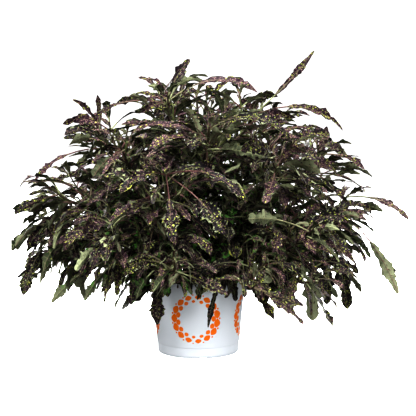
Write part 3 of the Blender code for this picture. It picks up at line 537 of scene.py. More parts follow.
def shoot_way(k):
    """The way that shoot k leans, how far it spreads, and how far from the middle it stands in the compost.

    The outer shoots are spread evenly, by equal areas, over a dome a little past level. The short ones are
    spread evenly round the pot."""
    if k < OUTER_SHOOTS:
        share = (k + FIRST_SHOOT) / OUTER_SHOOTS
        polar = math.acos(1 - share * (1 - math.cos(WIDEST_POLAR)))
        return heading_of(polar, FIRST_TURN + k * GOLDEN_TURN), TIP_SPREAD, BASE_RING * math.sqrt(share)
    turn = FIRST_SHORT_TURN + 2 * math.pi * (k - OUTER_SHOOTS) / SHORT_SHOOTS
    return heading_of(SHORT_POLAR, turn), SHORT_SPREAD, SHORT_BASE_RING


def tip_of(way, short, draw):
    """Where a branch ends, on the dome or a smaller one, and the way that its tip turns up to the light."""
    reach = SHORT_REACH if short else SIDE_REACH + (TOP_REACH - SIDE_REACH) * max(way[2], 0.0)
    tip = CROWN + reach * (1 + draw.uniform(-REACH_SPREAD, REACH_SPREAD)) * way
    tip[2] = max(tip[2], LOWEST_TIP)
    return tip, unit(way + TIP_LIFT * (1 - way[2]) * UP)


def shoot_branches(k):
    """The stretches of stem of shoot k: its leader out of the compost, and two side branches part way up."""
    draw = np.random.default_rng((SEED, k))
    way, spread, ring = shoot_way(k)
    one, two = across(way)
    turn = draw.uniform(0, 2 * math.pi)
    tips = []
    for j in range(TIPS_PER_SHOOT):
        a = turn + 2 * math.pi * j / TIPS_PER_SHOOT
        tip_way = unit(way + spread * (math.cos(a) * one + math.sin(a) * two))
        tips.append(tip_of(tip_way, k >= OUTER_SHOOTS, draw))
    flat = unit(np.array((way[0], way[1], 0.0)))
    base = ring * flat + SOIL_TOP * UP
    leader = arch(base, unit(UP + STEM_LEAN * flat), *tips[0], LEADER_POINTS)
    line = np.concatenate(((base - STEM_DEPTH * UP, base - HOLE_LIP * UP), leader[1:]))
    found = [Branch(line, (STEM_BASE_RADIUS, STEM_TIP_RADIUS), k)]
    for j in range(1, TIPS_PER_SHOOT):
        fork = FIRST_FORK + j - 1
        way_on = unit(leader[fork + 1] - leader[fork - 1])
        aside = unit(tips[j][0] - leader[fork])
        line = arch(leader[fork], unit(way_on + FORK_ASIDE * aside), *tips[j], SIDE_POINTS)
        found.append(Branch(line, (FORK_RADIUS, STEM_TIP_RADIUS), k))
    return found


@dataclass
class Leaf:
    """A leaf: where it leaves its stem, how its midrib runs, and its blade's form. Angles are in radians."""

    root: np.ndarray
    heading: float  # the midrib's azimuth at the root
    rise: float  # its pitch there
    bend: float  # how far the pitch falls by the tip
    sweep: float  # how far the azimuth turns by the tip
    roll: float  # the blade's turn about the midrib at the root
    twist: float  # its further turn by the tip
    petiole: float
    blade: float
    width: float
    fold: float  # how far each half is raised
    wave: float  # the height of the waves at the edge, as a share of the half width
    phase: float
    shoot: int

    @property
    def length(self):
        return self.petiole + self.blade


def midrib(leaf, share):
    """Points, side vectors and upward normals of a leaf's midrib at shares of its length.

    The pitch falls with the share to the power BEND_POWER, the azimuth turns with its square, and the points
    are the running sum of the directions."""

    def way(t):
        pitch = leaf.rise - leaf.bend * t**BEND_POWER
        yaw = leaf.heading + leaf.sweep * t * t
        return np.stack((np.cos(pitch) * np.cos(yaw), np.cos(pitch) * np.sin(yaw), np.sin(pitch)), -1), yaw

    t = np.linspace(0, 1, MIDRIB_STEPS + 1)
    steps = way(t)[0]
    run = np.concatenate((np.zeros((1, 3)), np.cumsum((steps[1:] + steps[:-1]) / 2, axis=0)))
    line = leaf.root + leaf.length / MIDRIB_STEPS * run
    place = np.stack([np.interp(share, t, line[:, i]) for i in range(3)], -1)
    along, yaw = way(share)
    level = np.stack((-np.sin(yaw), np.cos(yaw), np.zeros_like(yaw)), -1)
    over = np.cross(along, level)
    roll = (leaf.roll + leaf.twist * share)[:, None]
    return place, np.cos(roll) * level + np.sin(roll) * over, np.cos(roll) * over - np.sin(roll) * level


def half_width(leaf, x, side):
    """Half the width at a share x of the blade: it widens to past the middle, ends bluntly, and has lobes."""
    x = ramp(x)
    lance = (x / WIDEST) ** (TIP_POWER * WIDEST / (1 - WIDEST)) * ((1 - x) / (1 - WIDEST)) ** TIP_POWER
    lobes = 1 + LOBES * np.cos(2 * math.pi * (EDGE_LOBES * x + leaf.phase + LOBE_STAGGER * side))
    return PETIOLE_HALF + 0.5 * leaf.width * lance * lobes


def edge_wave(leaf, x, side):
    """How far the edge is lifted, as a share of the half width: a slow wave from the blade's foot on."""
    wave = np.sin(2 * math.pi * (EDGE_WAVES * x + leaf.phase + WAVE_STAGGER * side))
    return leaf.wave * wave * ramp(WAVE_START * x)


def surface(leaf, share, v):
    """Points of a leaf at shares of its length and at v across, -1 to 1, and the midrib's normals there.

    Each half is raised by the fold, and waved more and more towards its edge."""
    place, side, over = midrib(leaf, share)
    x = (share * leaf.length - leaf.petiole) / leaf.blade
    half = half_width(leaf, x, np.sign(v))
    lift = half * (np.abs(v) * math.sin(leaf.fold) + edge_wave(leaf, x, np.sign(v)) * v * v)
    return place + side * (half * v * math.cos(leaf.fold))[:, None] + over * lift[:, None], over


def leaf_mesh(leaf, spare=0.0, first=0.0):
    """Points and faces of a leaf's solid: rows of four points (left, over, right, under) that end in a tip.

    spare widens the leaf all round, to try whether it has room, and first is the share of its length where
    the solid begins. It serves to find each leaf's place, and the fine skins follow it."""
    young = leaf.blade < YOUNG_BLADE
    rows = (leaf.petiole + np.array(YOUNG_ROWS if young else BLADE_ROWS) * leaf.blade) / leaf.length
    rows = np.concatenate((np.full((1, 3), first), rows))
    left, _ = surface(leaf, rows[:, 0], np.full(len(rows), -1.0))
    rib, over = surface(leaf, rows[:, 1], np.zeros(len(rows)))
    right, _ = surface(leaf, rows[:, 2], np.full(len(rows), 1.0))
    outward = right - left
    outward /= np.linalg.norm(outward, axis=1)[:, None]
    half = (RIB_THICKNESS / 2 + spare) * over
    rings = np.stack((left - spare * outward, rib + half, right + spare * outward, rib - half), axis=1)
    if not young:
        rings[0] = rings[1] + rib[0] - rib[1]
    tip = surface(leaf, np.array([1.0]), np.zeros(1))[0]
    points = np.concatenate((rings.reshape(-1, 3), tip))
    last = len(points) - 1
    faces = [(0, 1, 2, 3)]
    if not young:
        faces += [(0, 4, 5, 1), (1, 5, 6, 2), (0, 3, 7, 4), (2, 6, 7, 3)]
    for row in range(0 if young else 1, len(rings) - 1):
        a, b = 4 * row, 4 * row + 4
        faces += [(a, b, a + 1), (a + 1, b, b + 1), (a + 2, a + 1, b + 2), (a + 1, b + 1, b + 2)]
        faces += [(a, a + 3, b), (a + 3, b + 3, b), (a + 2, b + 2, a + 3), (a + 3, b + 2, b + 3)]
    a = 4 * (len(rings) - 1)
    faces += [(a, last, a + 1), (a + 1, last, a + 2), (a + 2, last, a + 3), (a + 3, last, a)]
    return points, faces


def tube_rings(line, radii, sides):
    """Rings of points (rows, sides, 3) round a line. The sides follow the line without a twist."""
    way = np.gradient(line, axis=0)
    way /= np.linalg.norm(way, axis=1)[:, None]
    side = across(way[0])[0]
    angle = np.linspace(0, 2 * math.pi, sides, endpoint=False)
    rings = []
    for place, along, radius in zip(line, way, radii):
        side = unit(side - along * (side @ along))
        other = np.cross(along, side)
        rings.append(place + radius * (np.outer(np.cos(angle), side) + np.outer(np.sin(angle), other)))
    return np.array(rings)


def tube_mesh(line, radii, sides=4):
    """Points and faces of a closed tube round a line."""
    rings = tube_rings(line, np.linspace(*radii, len(line)), sides)
    faces = []
    for row in range(len(line) - 1):
        for i in range(sides):
            a, b = row * sides + i, row * sides + (i + 1) % sides
            faces.append((a, b, b + sides, a + sides))
    top = (len(line) - 1) * sides
    faces += [tuple(range(sides))[::-1], tuple(range(top, top + sides))]
    return rings.reshape(-1, 3), faces


class Thicket:
    """What is already in place, so that the next leaf can be kept clear of it."""

    ROOM = 8000

    def __init__(self):
        self.low = np.zeros((self.ROOM, 3))
        self.high = np.zeros((self.ROOM, 3))
        self.shoots = np.zeros(self.ROOM, int)
        self.trees = []

    def add(self, points, faces, shoot):
        count = len(self.trees)
        self.low[count] = points.min(axis=0)
        self.high[count] = points.max(axis=0)
        self.shoots[count] = shoot
        self.trees.append(BVHTree.FromPolygons(points.tolist(), faces))

    def has_room(self, points, faces, shoot=None):
        """True if the mesh crosses nothing, leaving out what belongs to the shoot that is named."""
        count = len(self.trees)
        near = (self.low[:count] <= points.max(axis=0)).all(axis=1)
        near &= (self.high[:count] >= points.min(axis=0)).all(axis=1)
        if shoot is not None:
            near &= self.shoots[:count] != shoot
        tree = BVHTree.FromPolygons(points.tolist(), faces)
        return not any(tree.overlap(self.trees[i]) for i in np.flatnonzero(near))


def hides_pot(points, drop=0.0):
    """True if a leaf would hang in front of the pot's wall, which the foliage leaves in view.

    drop is how far it may hang over the top of the wall."""
    forward = -points[:, 1]
    sight = SIGHT_HEIGHT - drop + SIGHT_SLOPE * (forward - POT_RIM_RADIUS)
    before = (forward > SIGHT_DEPTH) & (np.abs(points[:, 0]) < SIGHT_HALF_WIDTH)
    return bool((before & (points[:, 2] < sight)).any())


def facing_roll(leaf, light):
    """The roll that turns the middle of a blade's upper face to the light."""
    _, level, over = midrib(replace(leaf, roll=0.0, twist=0.0), np.array([MIDDLE_SHARE]))
    return math.atan2(-float(light @ level[0]), float(light @ over[0]))


def draw_leaf(branch, node, side, draw):
    """A leaf of the opposite pair at a node: it leaves the stem at the node's angle and arches over.

    The tips of the leaves hang the more the further they are from the top of the plant. One blade in seven
    is turned over by a twist and shows its underside."""
    root, way = branch.back_from_tip(NODE_BACK[node] * draw.uniform(*NODE_SPREAD))
    one, two = across(way)
    a = math.pi / 2 * node + math.pi * side + draw.normal(0, TURN_SPREAD)
    spread = DIVERGENCE[node] + draw.normal(0, ANGLE_SPREAD)
    radial = unit(root - CROWN)
    out = math.cos(a) * one + math.sin(a) * two
    start = unit(math.cos(spread) * way + math.sin(spread) * out + OUTWARD_PULL * radial)
    rise = max(math.asin(start[2]), LOWEST_RISE)
    droop = draw.uniform(*DROOP) * (1 - TOP_DROOP_LOSS * max(radial[2], 0.0) ** 2)
    droop *= 1 if node else YOUNG_DROOP
    size = draw.uniform(*SIZE_SPREAD)
    blade = BLADE_LENGTH[node] * size * draw.uniform(*LENGTH_SPREAD)
    turned = draw.uniform() < TURNED_SHARE
    leaf = Leaf(
        root=root,
        heading=math.atan2(start[1], start[0]),
        rise=rise,
        bend=rise + droop,
        sweep=draw.normal(0, SWEEP_SPREAD),
        roll=0.0,
        twist=draw.choice((-1, 1)) * draw.uniform(*TURNED_TWIST) if turned else draw.normal(0, TWIST_SPREAD),
        petiole=PETIOLE_LENGTH[node] * size,
        blade=blade,
        width=blade * WIDTH_SHARE * draw.uniform(*WIDTH_SPREAD),
        fold=draw.uniform(*FOLD),
        wave=draw.uniform(*WAVE),
        phase=draw.uniform(0, 1),
        shoot=branch.shoot,
    )
    light = LIGHT_UP * UP + LIGHT_OUT * radial + LIGHT_ALONG * way
    return replace(leaf, roll=facing_roll(leaf, light) + draw.normal(0, ROLL_SPREAD))


def seen_at(right, up, depth):
    """The point this far in front of the upright plane through the axis that a viewer sees there in it."""
    return VIEWER + (np.array((right, 0.0, up)) - VIEWER) * (1 - depth / -VIEWER[1])


def nearest_stem(branches, place):
    """The branch that passes nearest to a place, and its nearest point, some way from its root."""
    best = None
    for branch in branches:
        for t in STEM_SHARES:
            at = t * (len(branch.points) - 1)
            i = int(at)
            point = branch.points[i] + (at - i) * (branch.points[i + 1] - branch.points[i])
            gap = np.linalg.norm(point - place)
            if best is None or gap < best[0]:
                best = gap, branch, point
    return best[1], best[2]


def feature_leaf(branches, feature, draw):
    """A leaf from the stem nearest to where its root is seen, bent so that it ends where its tip is seen."""
    root_seen, tip_seen, depth, width, bend, facing = feature
    tip = seen_at(*tip_seen, depth)
    branch, root = nearest_stem(branches, seen_at(*root_seen, depth - ROOT_BEHIND))
    chord = tip - root
    level = math.hypot(chord[0], chord[1])
    base = Leaf(root, 0.0, 0.0, bend, 0.0, 0.0, 0.0, 0.0, 1.0, 0.0, 0.0, 0.0, 0.0, branch.shoot)
    plain = midrib(base, np.array([1.0]))[0][0] - root
    leaf = replace(
        base,
        heading=math.atan2(chord[1], chord[0]),
        rise=math.atan2(chord[2], level) - math.atan2(plain[2], plain[0]),
        twist=draw.normal(0, FEATURE_TWIST_SPREAD),
        fold=draw.uniform(*FEATURE_FOLD),
        wave=draw.uniform(*FEATURE_WAVE),
        phase=draw.uniform(0, 1),
        width=width,
    )
    length = np.linalg.norm(chord) / np.linalg.norm(plain)
    seen = math.dist(root_seen, tip_seen) / np.linalg.norm(plain)
    blade = min(seen, LONGEST_BLADE_SHARE * length)
    leaf = replace(leaf, blade=blade, petiole=length - blade)
    return replace(leaf, roll=facing_roll(leaf, LOOKS[facing]) - leaf.twist / 2)


def reshaped(leaf, draw):
    """The same leaf, turned, lifted and shrunk a little, as a leaf grows past what is in its way."""
    shrink = draw.uniform(*SHRINK_TRY)
    rise = leaf.rise + draw.normal(0, RISE_TRY)
    return replace(
        leaf,
        heading=leaf.heading + draw.normal(0, HEADING_TRY),
        rise=rise,
        bend=min(leaf.bend + draw.normal(0, BEND_TRY), rise + STEEPEST),
        roll=leaf.roll + draw.normal(0, ROLL_TRY),
        blade=leaf.blade * shrink,
        width=leaf.width * shrink,
    )


def settle(leaf, thicket, draw, may_hide_pot=False, tries=TRIES, lowest=LOWEST_LEAF, drop=0.0):
    """The leaf, or a reshaped one, that crosses nothing and leaves the pot in view, or None without room."""
    for _ in range(tries):
        points, faces = leaf_mesh(leaf, CLEARANCE)
        outer = leaf_mesh(leaf, CLEARANCE, JOINED_SHARE)
        in_bounds = may_hide_pot or (points[:, 2].min() > lowest and not hides_pot(points, drop))
        if in_bounds and thicket.has_room(points, faces, leaf.shoot) and thicket.has_room(*outer):
            thicket.add(*outer, leaf.shoot)
            return leaf
        leaf = reshaped(leaf, draw)
    return None


def grow():
    """The thicket, the branches and the leaves that find room: the features, then the youngest first."""
    thicket = Thicket()
    pot_guard = np.array(((0, 0, 0), (0, 0, POT_HEIGHT + GUARD_TOP)))
    guard_radii = (POT_BASE_RADIUS + GUARD_SIDE, POT_RIM_RADIUS + GUARD_SIDE)
    thicket.add(*tube_mesh(pot_guard, guard_radii, GUARD_SIDES), -1)
    branches = []
    for k in range(SHOOTS):
        for branch in shoot_branches(k):
            thicket.add(*tube_mesh(branch.points, [r + CLEARANCE for r in branch.radii]), k)
            branches.append(branch)
    leaves = []
    for index, feature in enumerate(FEATURES):
        draw = np.random.default_rng((SEED, FEATURE_STREAM + index))
        leaf = settle(feature_leaf(branches, feature, draw), thicket, draw, may_hide_pot=True)
        if leaf is not None:
            leaves.append(leaf)
    for node in range(len(NODE_BACK)):
        for index, branch in enumerate(branches):
            if node == OLDEST and index % TIPS_PER_SHOOT:
                continue
            for side in (0, 1):
                draw = np.random.default_rng((SEED, index, node, side))
                leaf = settle(draw_leaf(branch, node, side, draw), thicket, draw)
                if leaf is not None:
                    leaves.append(leaf)
    return thicket, branches, leaves


def in_dome(place):
    """True if a place is inside the dome that the sprigs fill, which reaches highest over the crown."""
    out = place - CROWN
    far = np.linalg.norm(out)
    up = max(out[2] / far, 0.0)
    reach = SIDE_REACH + (TOP_REACH - SIDE_REACH) * up
    return far < (DOME_SHARE + (CROWN_REACH - DOME_SHARE) * up**DOME_POWER) * reach


def side_sprigs(branches, step):
    """Short side sprigs in opposite pairs all along the branches, each turned up and kept inside the dome."""
    found = []
    for number, branch in enumerate(branches):
        for row, back in enumerate(np.arange(SPRIG_FIRST, branch.length - SPRIG_FIRST / 2, step)):
            for side in (0, 1):
                draw = np.random.default_rng((SEED, SPRIG_STREAM, number, row, side))
                root, way = branch.back_from_tip(back)
                one, two = across(way)
                a = math.pi / 2 * row + math.pi * side + draw.normal(0, SPRIG_TURN_SPREAD)
                spread = draw.uniform(*SPRIG_SPREAD)
                out = math.cos(a) * one + math.sin(a) * two
                start = unit(math.cos(spread) * way + math.sin(spread) * out)
                aim = unit(start + SPRIG_OUTWARD * unit(root - CROWN) + SPRIG_UPWARD * UP)
                end = root + draw.uniform(*SPRIG_LENGTH) * aim
                if not in_dome(end) or end[2] < SPRIG_LOWEST:
                    continue
                line = arch(root, start, end, unit(end - root + SPRIG_LIFT * UP), SPRIG_POINTS)
                found.append(Branch(line, SPRIG_RADII, branch.shoot))
    return found


def fill_out(thicket, sprigs):
    """The leaves of the sprigs that find room, the youngest first.

    They are a little slimmer than a stem's own, and they hang the more the lower they grow."""
    leaves = []
    for node in range(SPRIG_NODES):
        for number, sprig in enumerate(sprigs):
            for side in (0, 1):
                draw = np.random.default_rng((SEED, SPRIG_STREAM + 1, number, node, side))
                leaf = draw_leaf(sprig, node, side, draw)
                size = draw.uniform(*SPRIG_LEAF_SIZE)
                hang = min(max((HANG_BELOW - leaf.root[2]) / HANG_RAMP, 0.0), 1.0)
                leaf = replace(
                    leaf,
                    bend=max(leaf.bend, min(leaf.bend + hang, leaf.rise + STEEPEST)),
                    blade=leaf.blade * size,
                    width=leaf.width * size * SPRIG_LEAF_SLIM,
                )
                leaf = settle(
                    leaf, thicket, draw, tries=SPRIG_TRIES, lowest=SPRIG_LEAF_LOWEST, drop=SPRIG_DROP
                )
                if leaf is not None:
                    leaves.append(leaf)
    return leaves


@lru_cache(maxsize=None)
def skin_faces(rows, ring):
    """Four-sided faces between rings, and three-sided ones from the end rings to a pole at each end."""
    row = np.arange(rows - 1)[:, None] * ring
    one = np.arange(ring)
    two = (one + 1) % ring
    quads = np.stack((row + one, row + two, row + ring + two, row + ring + one), -1).reshape(-1, 4)
    last = (rows - 1) * ring
    start = np.stack((np.full(ring, rows * ring), two, one), -1)
    end = np.stack((np.full(ring, rows * ring + 1), last + one, last + two), -1)
    return quads, np.concatenate((start, end))


class Piece:
    """Gathers closed skins into one mesh, with three numbers of three kinds at each point.

    place is (metres along, metres across, 0), form is (share of the blade, share across, tooth) and tone is
    three draws that are alike all over a leaf."""

    KINDS = ("place", "form", "tone")

    def __init__(self):
        self.points = []
        self.quads = []
        self.fans = []
        self.quad_looks = []
        self.fan_looks = []
        self.kinds = {kind: [] for kind in self.KINDS}
        self.count = 0

    def add(self, rings, ends, looks, end_looks, **kinds):
        """Adds one skin: rings (rows, ring, 3), its two poles, and the look of each of its faces."""
        rows, ring = rings.shape[:2]
        quads, fans = skin_faces(rows, ring)
        self.points.append(np.concatenate((rings.reshape(-1, 3), ends)))
        self.quads.append(quads + self.count)
        self.fans.append(fans + self.count)
        self.quad_looks.append(np.broadcast_to(looks, (rows - 1, ring)).reshape(-1))
        self.fan_looks.append(np.asarray(end_looks).reshape(-1))
        for kind in self.KINDS:
            values = np.broadcast_to(kinds[kind], (rows, ring, 3))
            poles = np.stack((values[0].mean(axis=0), values[-1].mean(axis=0)))
            self.kinds[kind].append(np.concatenate((values.reshape(-1, 3), poles)))
        self.count += len(self.points[-1])

    def make(self, name, materials):
        """The object: its mesh holds all the skins, kept inside the model's box."""
        points = np.clip(np.concatenate(self.points), CAD_BOX[0] + 1e-5, CAD_BOX[1] - 1e-5)
        quads, fans = np.concatenate(self.quads), np.concatenate(self.fans)
        looks = np.concatenate(self.quad_looks + self.fan_looks)
        made = mesh_object(name, points, quads, fans, looks, materials)
        for kind in self.KINDS:
            layer = made.data.attributes.new("leaf_" + kind, "FLOAT_VECTOR", "POINT")
            layer.data.foreach_set("vector", np.concatenate(self.kinds[kind]).astype(np.float32).ravel())
        return made


def mesh_object(name, points, quads, fans, looks, materials):
    """An object at the origin from arrays of points, four-sided faces, three-sided faces and their looks."""
    mesh = bpy.data.meshes.new(name)
    corners = np.concatenate((quads.ravel(), fans.ravel()))
    starts = np.concatenate((np.arange(len(quads)) * 4, quads.size + np.arange(len(fans)) * 3))
    mesh.vertices.add(len(points))
    mesh.vertices.foreach_set("co", points.astype(np.float32).ravel())
    mesh.loops.add(len(corners))
    mesh.loops.foreach_set("vertex_index", corners.astype(np.int32))
    mesh.polygons.add(len(starts))
    mesh.polygons.foreach_set("loop_start", starts.astype(np.int32))
    mesh.polygons.foreach_set("material_index", np.broadcast_to(looks, len(starts)).astype(np.int32))
    for material in materials:
        mesh.materials.append(material)
    mesh.update(calc_edges=True)
    mesh.validate()
    mesh.shade_smooth()
    mesh.set_sharp_from_angle(angle=SHARP_EDGE)
    made = bpy.data.objects.new(name, mesh)
    bpy.context.scene.collection.objects.link(made)
    return made


def leaf_skin(piece, leaf, columns, stalk_count, teeth, number):
    """Adds a leaf's closed skin to a piece.

    It is a ring carried along the midrib: over the upper face from the right edge to the left one, and back
    underneath. The edge is cut into uneven teeth that point forwards, each a slow rise and a quick fall, the
    blade is puckered between its side veins, and its edge is ruffled. Some slim blades that don't rise narrow
    to a tail with a knob at its end. The stalk is a round rod. A broad leaf's first tone is low, and so it is
    pale beneath, and a long stalk's third tone is high, and so it is purple."""
    draw = np.random.default_rng((SEED, LEAF_STREAM + number, leaf.shoot))
    tones = draw.random(3)
    cuts = draw.uniform(*TOOTH_CUTS, (2, teeth + 1))
    ruffle_phase = draw.random()
    slim = leaf.rise < TAIL_RISE and leaf.width < TAILED_WIDTH
    tail = TAIL_DEPTH * slim * (draw.random() < TAILED_SHARE)
    tones[0] *= np.clip(1 - (leaf.width - BROAD_WIDTH) / (BROAD_WIDTH / 3), PALEST, 1)
    tones[2] = max(tones[2], PURPLEST * ramp(leaf.petiole / LONG_STALK - 1))
    petiole = leaf.petiole / leaf.length
    even_rows = (np.arange(teeth)[:, None] + np.array(TOOTH_ROWS)).ravel() / teeth
    drift = TOOTH_DRIFT * np.sin(2 * math.pi * (DRIFT_WAVES * even_rows + ruffle_phase))
    blade_rows = even_rows + drift * ramp(DRIFT_FADE * even_rows) * ramp(DRIFT_FADE * (1 - even_rows))
    stalk_rows = np.linspace(0, 1, stalk_count, endpoint=False)
    share = np.concatenate((stalk_rows * petiole, petiole + (1 - petiole) * blade_rows))
    x = ((share - petiole) / (1 - petiole))[:, None]
    inside = ramp(x)
    columns = np.array(columns)
    v = np.concatenate((columns[::-1], columns[1:-1]))[None, :]
    face = np.concatenate((np.ones(len(columns)), -np.ones(len(columns) - 2)))
    face[[0, len(columns) - 1]] = 0
    sign = np.sign(v)
    tooth = teeth * np.concatenate((np.zeros(stalk_count), even_rows))[:, None] + TOOTH_ROWS[1] * (sign > 0)
    rise = ramp((tooth % 1.0) / TOOTH_ROWS[-1])
    notch = np.where(sign < 0, cuts[0][tooth.astype(int)], cuts[1][tooth.astype(int)])
    fade = ramp(TOOTH_FADES[0] * inside) * ramp(TOOTH_FADES[1] * (1 - inside))
    half = half_width(leaf, inside, sign) - PETIOLE_HALF * TIP_LOSS * inside
    half = half * (1 - TOOTH_DEPTH * notch * fade * (1 - rise) * v * v)
    slender = ramp(TAIL_FADES[0] * (inside - TAIL_FIRST)) * ramp(TAIL_FADES[1] * (TAIL_KNOB - inside))
    half = half * (1 - tail * slender)
    lift = half * (np.abs(v) * math.sin(leaf.fold) + edge_wave(leaf, inside, sign) * v * v)
    ruffle_turns = RUFFLES_PER_TOOTH * tooth + ruffle_phase + RUFFLE_STAGGER * sign
    ruffle = RUFFLE * np.sin(2 * math.pi * ruffle_turns) * np.abs(v) ** 3
    pucker = PUCKER * np.sin(math.pi * np.abs(v)) * np.cos(2 * math.pi * tooth)
    lift = lift + half * fade * (ruffle + pucker)
    stalk = ramp(1 - STALK_FADE * x)
    thick = np.sqrt(ramp(1 - v * v)) * (BLADE_HALF_THICKNESS + (PETIOLE_HALF - BLADE_HALF_THICKNESS) * stalk)
    rib = RIB_DROP * (1 - inside) * (1 - stalk) * (v == 0) * (face < 0)
    lift = lift * (1 - stalk) + face * (thick + rib)
    place, side, over = midrib(leaf, share)
    level = half * v * math.cos(leaf.fold)
    rings = place[:, None] + side[:, None] * level[..., None] + over[:, None] * lift[..., None]
    ends = np.stack((place[0], midrib(leaf, np.array([1.0]))[0][0]))
    upper = np.arange(len(face)) < len(columns) - 1
    looks = np.where(x[:-1] < 0, STALK, np.where(upper, UPPER, UNDERSIDE))
    end_looks = np.stack((np.full(len(face), STALK), np.where(upper, UPPER, UNDERSIDE)))
    along = share[:, None] * leaf.length + LEAF_ROOM * number
    flat = np.zeros_like(along + half)
    piece.add(
        rings,
        ends,
        looks,
        end_looks,
        place=np.stack((along + flat, half * v, flat), -1),
        form=np.stack((x + flat, v + flat, tooth + flat), -1),
        tone=tones,
    )


def smooth_line(points, steps):
    """The points of a line with more between them, on a curve through all of them.

    Each stretch is a cubic whose slopes at its ends are half the chord between the neighbouring points."""
    ends = np.concatenate((2 * points[:1] - points[1:2], points, 2 * points[-1:] - points[-2:-1]))
    t = np.linspace(0, 1, steps, endpoint=False)[None, :, None]
    a, b, c, d = (ends[i : len(ends) - 3 + i, None] for i in range(4))
    curve = b + 0.5 * t * (c - a + t * (2 * a - 5 * b + 4 * c - d + t * (3 * (b - c) + d - a)))
    return np.concatenate((curve.reshape(-1, 3), points[-1:]))


def stem_skin(piece, branch, ring, steps, number):
    """Adds a stem's closed skin: a square with round corners carried along, thinner towards its tip."""
    line = smooth_line(branch.points, steps)
    angle = np.linspace(0, 2 * math.pi, ring, endpoint=False)
    rings = tube_rings(line, np.linspace(*branch.radii, len(line)), ring)
    swell = 1 + SQUARENESS * np.cos(4 * angle)[None, :, None]
    rings = line[:, None] + (rings - line[:, None]) * swell
    run = np.concatenate(([0.0], np.cumsum(np.linalg.norm(np.diff(line, axis=0), axis=1))))
    along = np.broadcast_to(run[:, None], rings.shape[:2])
    turn = np.broadcast_to(branch.radii[0] * np.sin(angle)[None, :], rings.shape[:2])
    draw = np.random.default_rng((SEED, STEM_STREAM + number))
    flat = np.zeros_like(along)
    piece.add(
        rings,
        line[[0, -1]],
        STEM,
        np.full(2 * ring, STEM),
        place=np.stack((along + LEAF_ROOM * number, turn, flat), -1),
        form=np.stack((along / run[-1], flat, flat), -1),
        tone=draw.random(3),
    )


class Socket:
    """A value in a node tree. Arithmetic on it adds Math nodes."""

    def __init__(self, graph, socket):
        self.graph = graph
        self.socket = socket

    def math(self, operation, *values):
        return self.graph.add("ShaderNodeMath", {"operation": operation}, dict(enumerate(values)))

    def __add__(self, other):
        return self.math("ADD", self, other)

    __radd__ = __add__

    def __mul__(self, other):
        return self.math("MULTIPLY", self, other)

    __rmul__ = __mul__

    def __sub__(self, other):
        return self.math("SUBTRACT", self, other)

    def __rsub__(self, other):
        return self.math("SUBTRACT", other, self)

    def __truediv__(self, other):
        return self.math("DIVIDE", self, other)

    def __pow__(self, other):
        return self.math("POWER", self, other)

    def __abs__(self):
        return self.math("ABSOLUTE", self)

    def fraction(self):
        return self.math("FRACT", self)

    def most(self, other):
        return self.math("MAXIMUM", self, other)

    def least(self, other):
        return self.math("MINIMUM", self, other)

    def step(self, low, high):
        """0 below low, 1 above high, and a smooth rise between them."""
        return self.graph.add(
            "ShaderNodeMapRange",
            {"interpolation_type": "SMOOTHSTEP"},
            {"Value": self, "From Min": low, "From Max": high},
        )


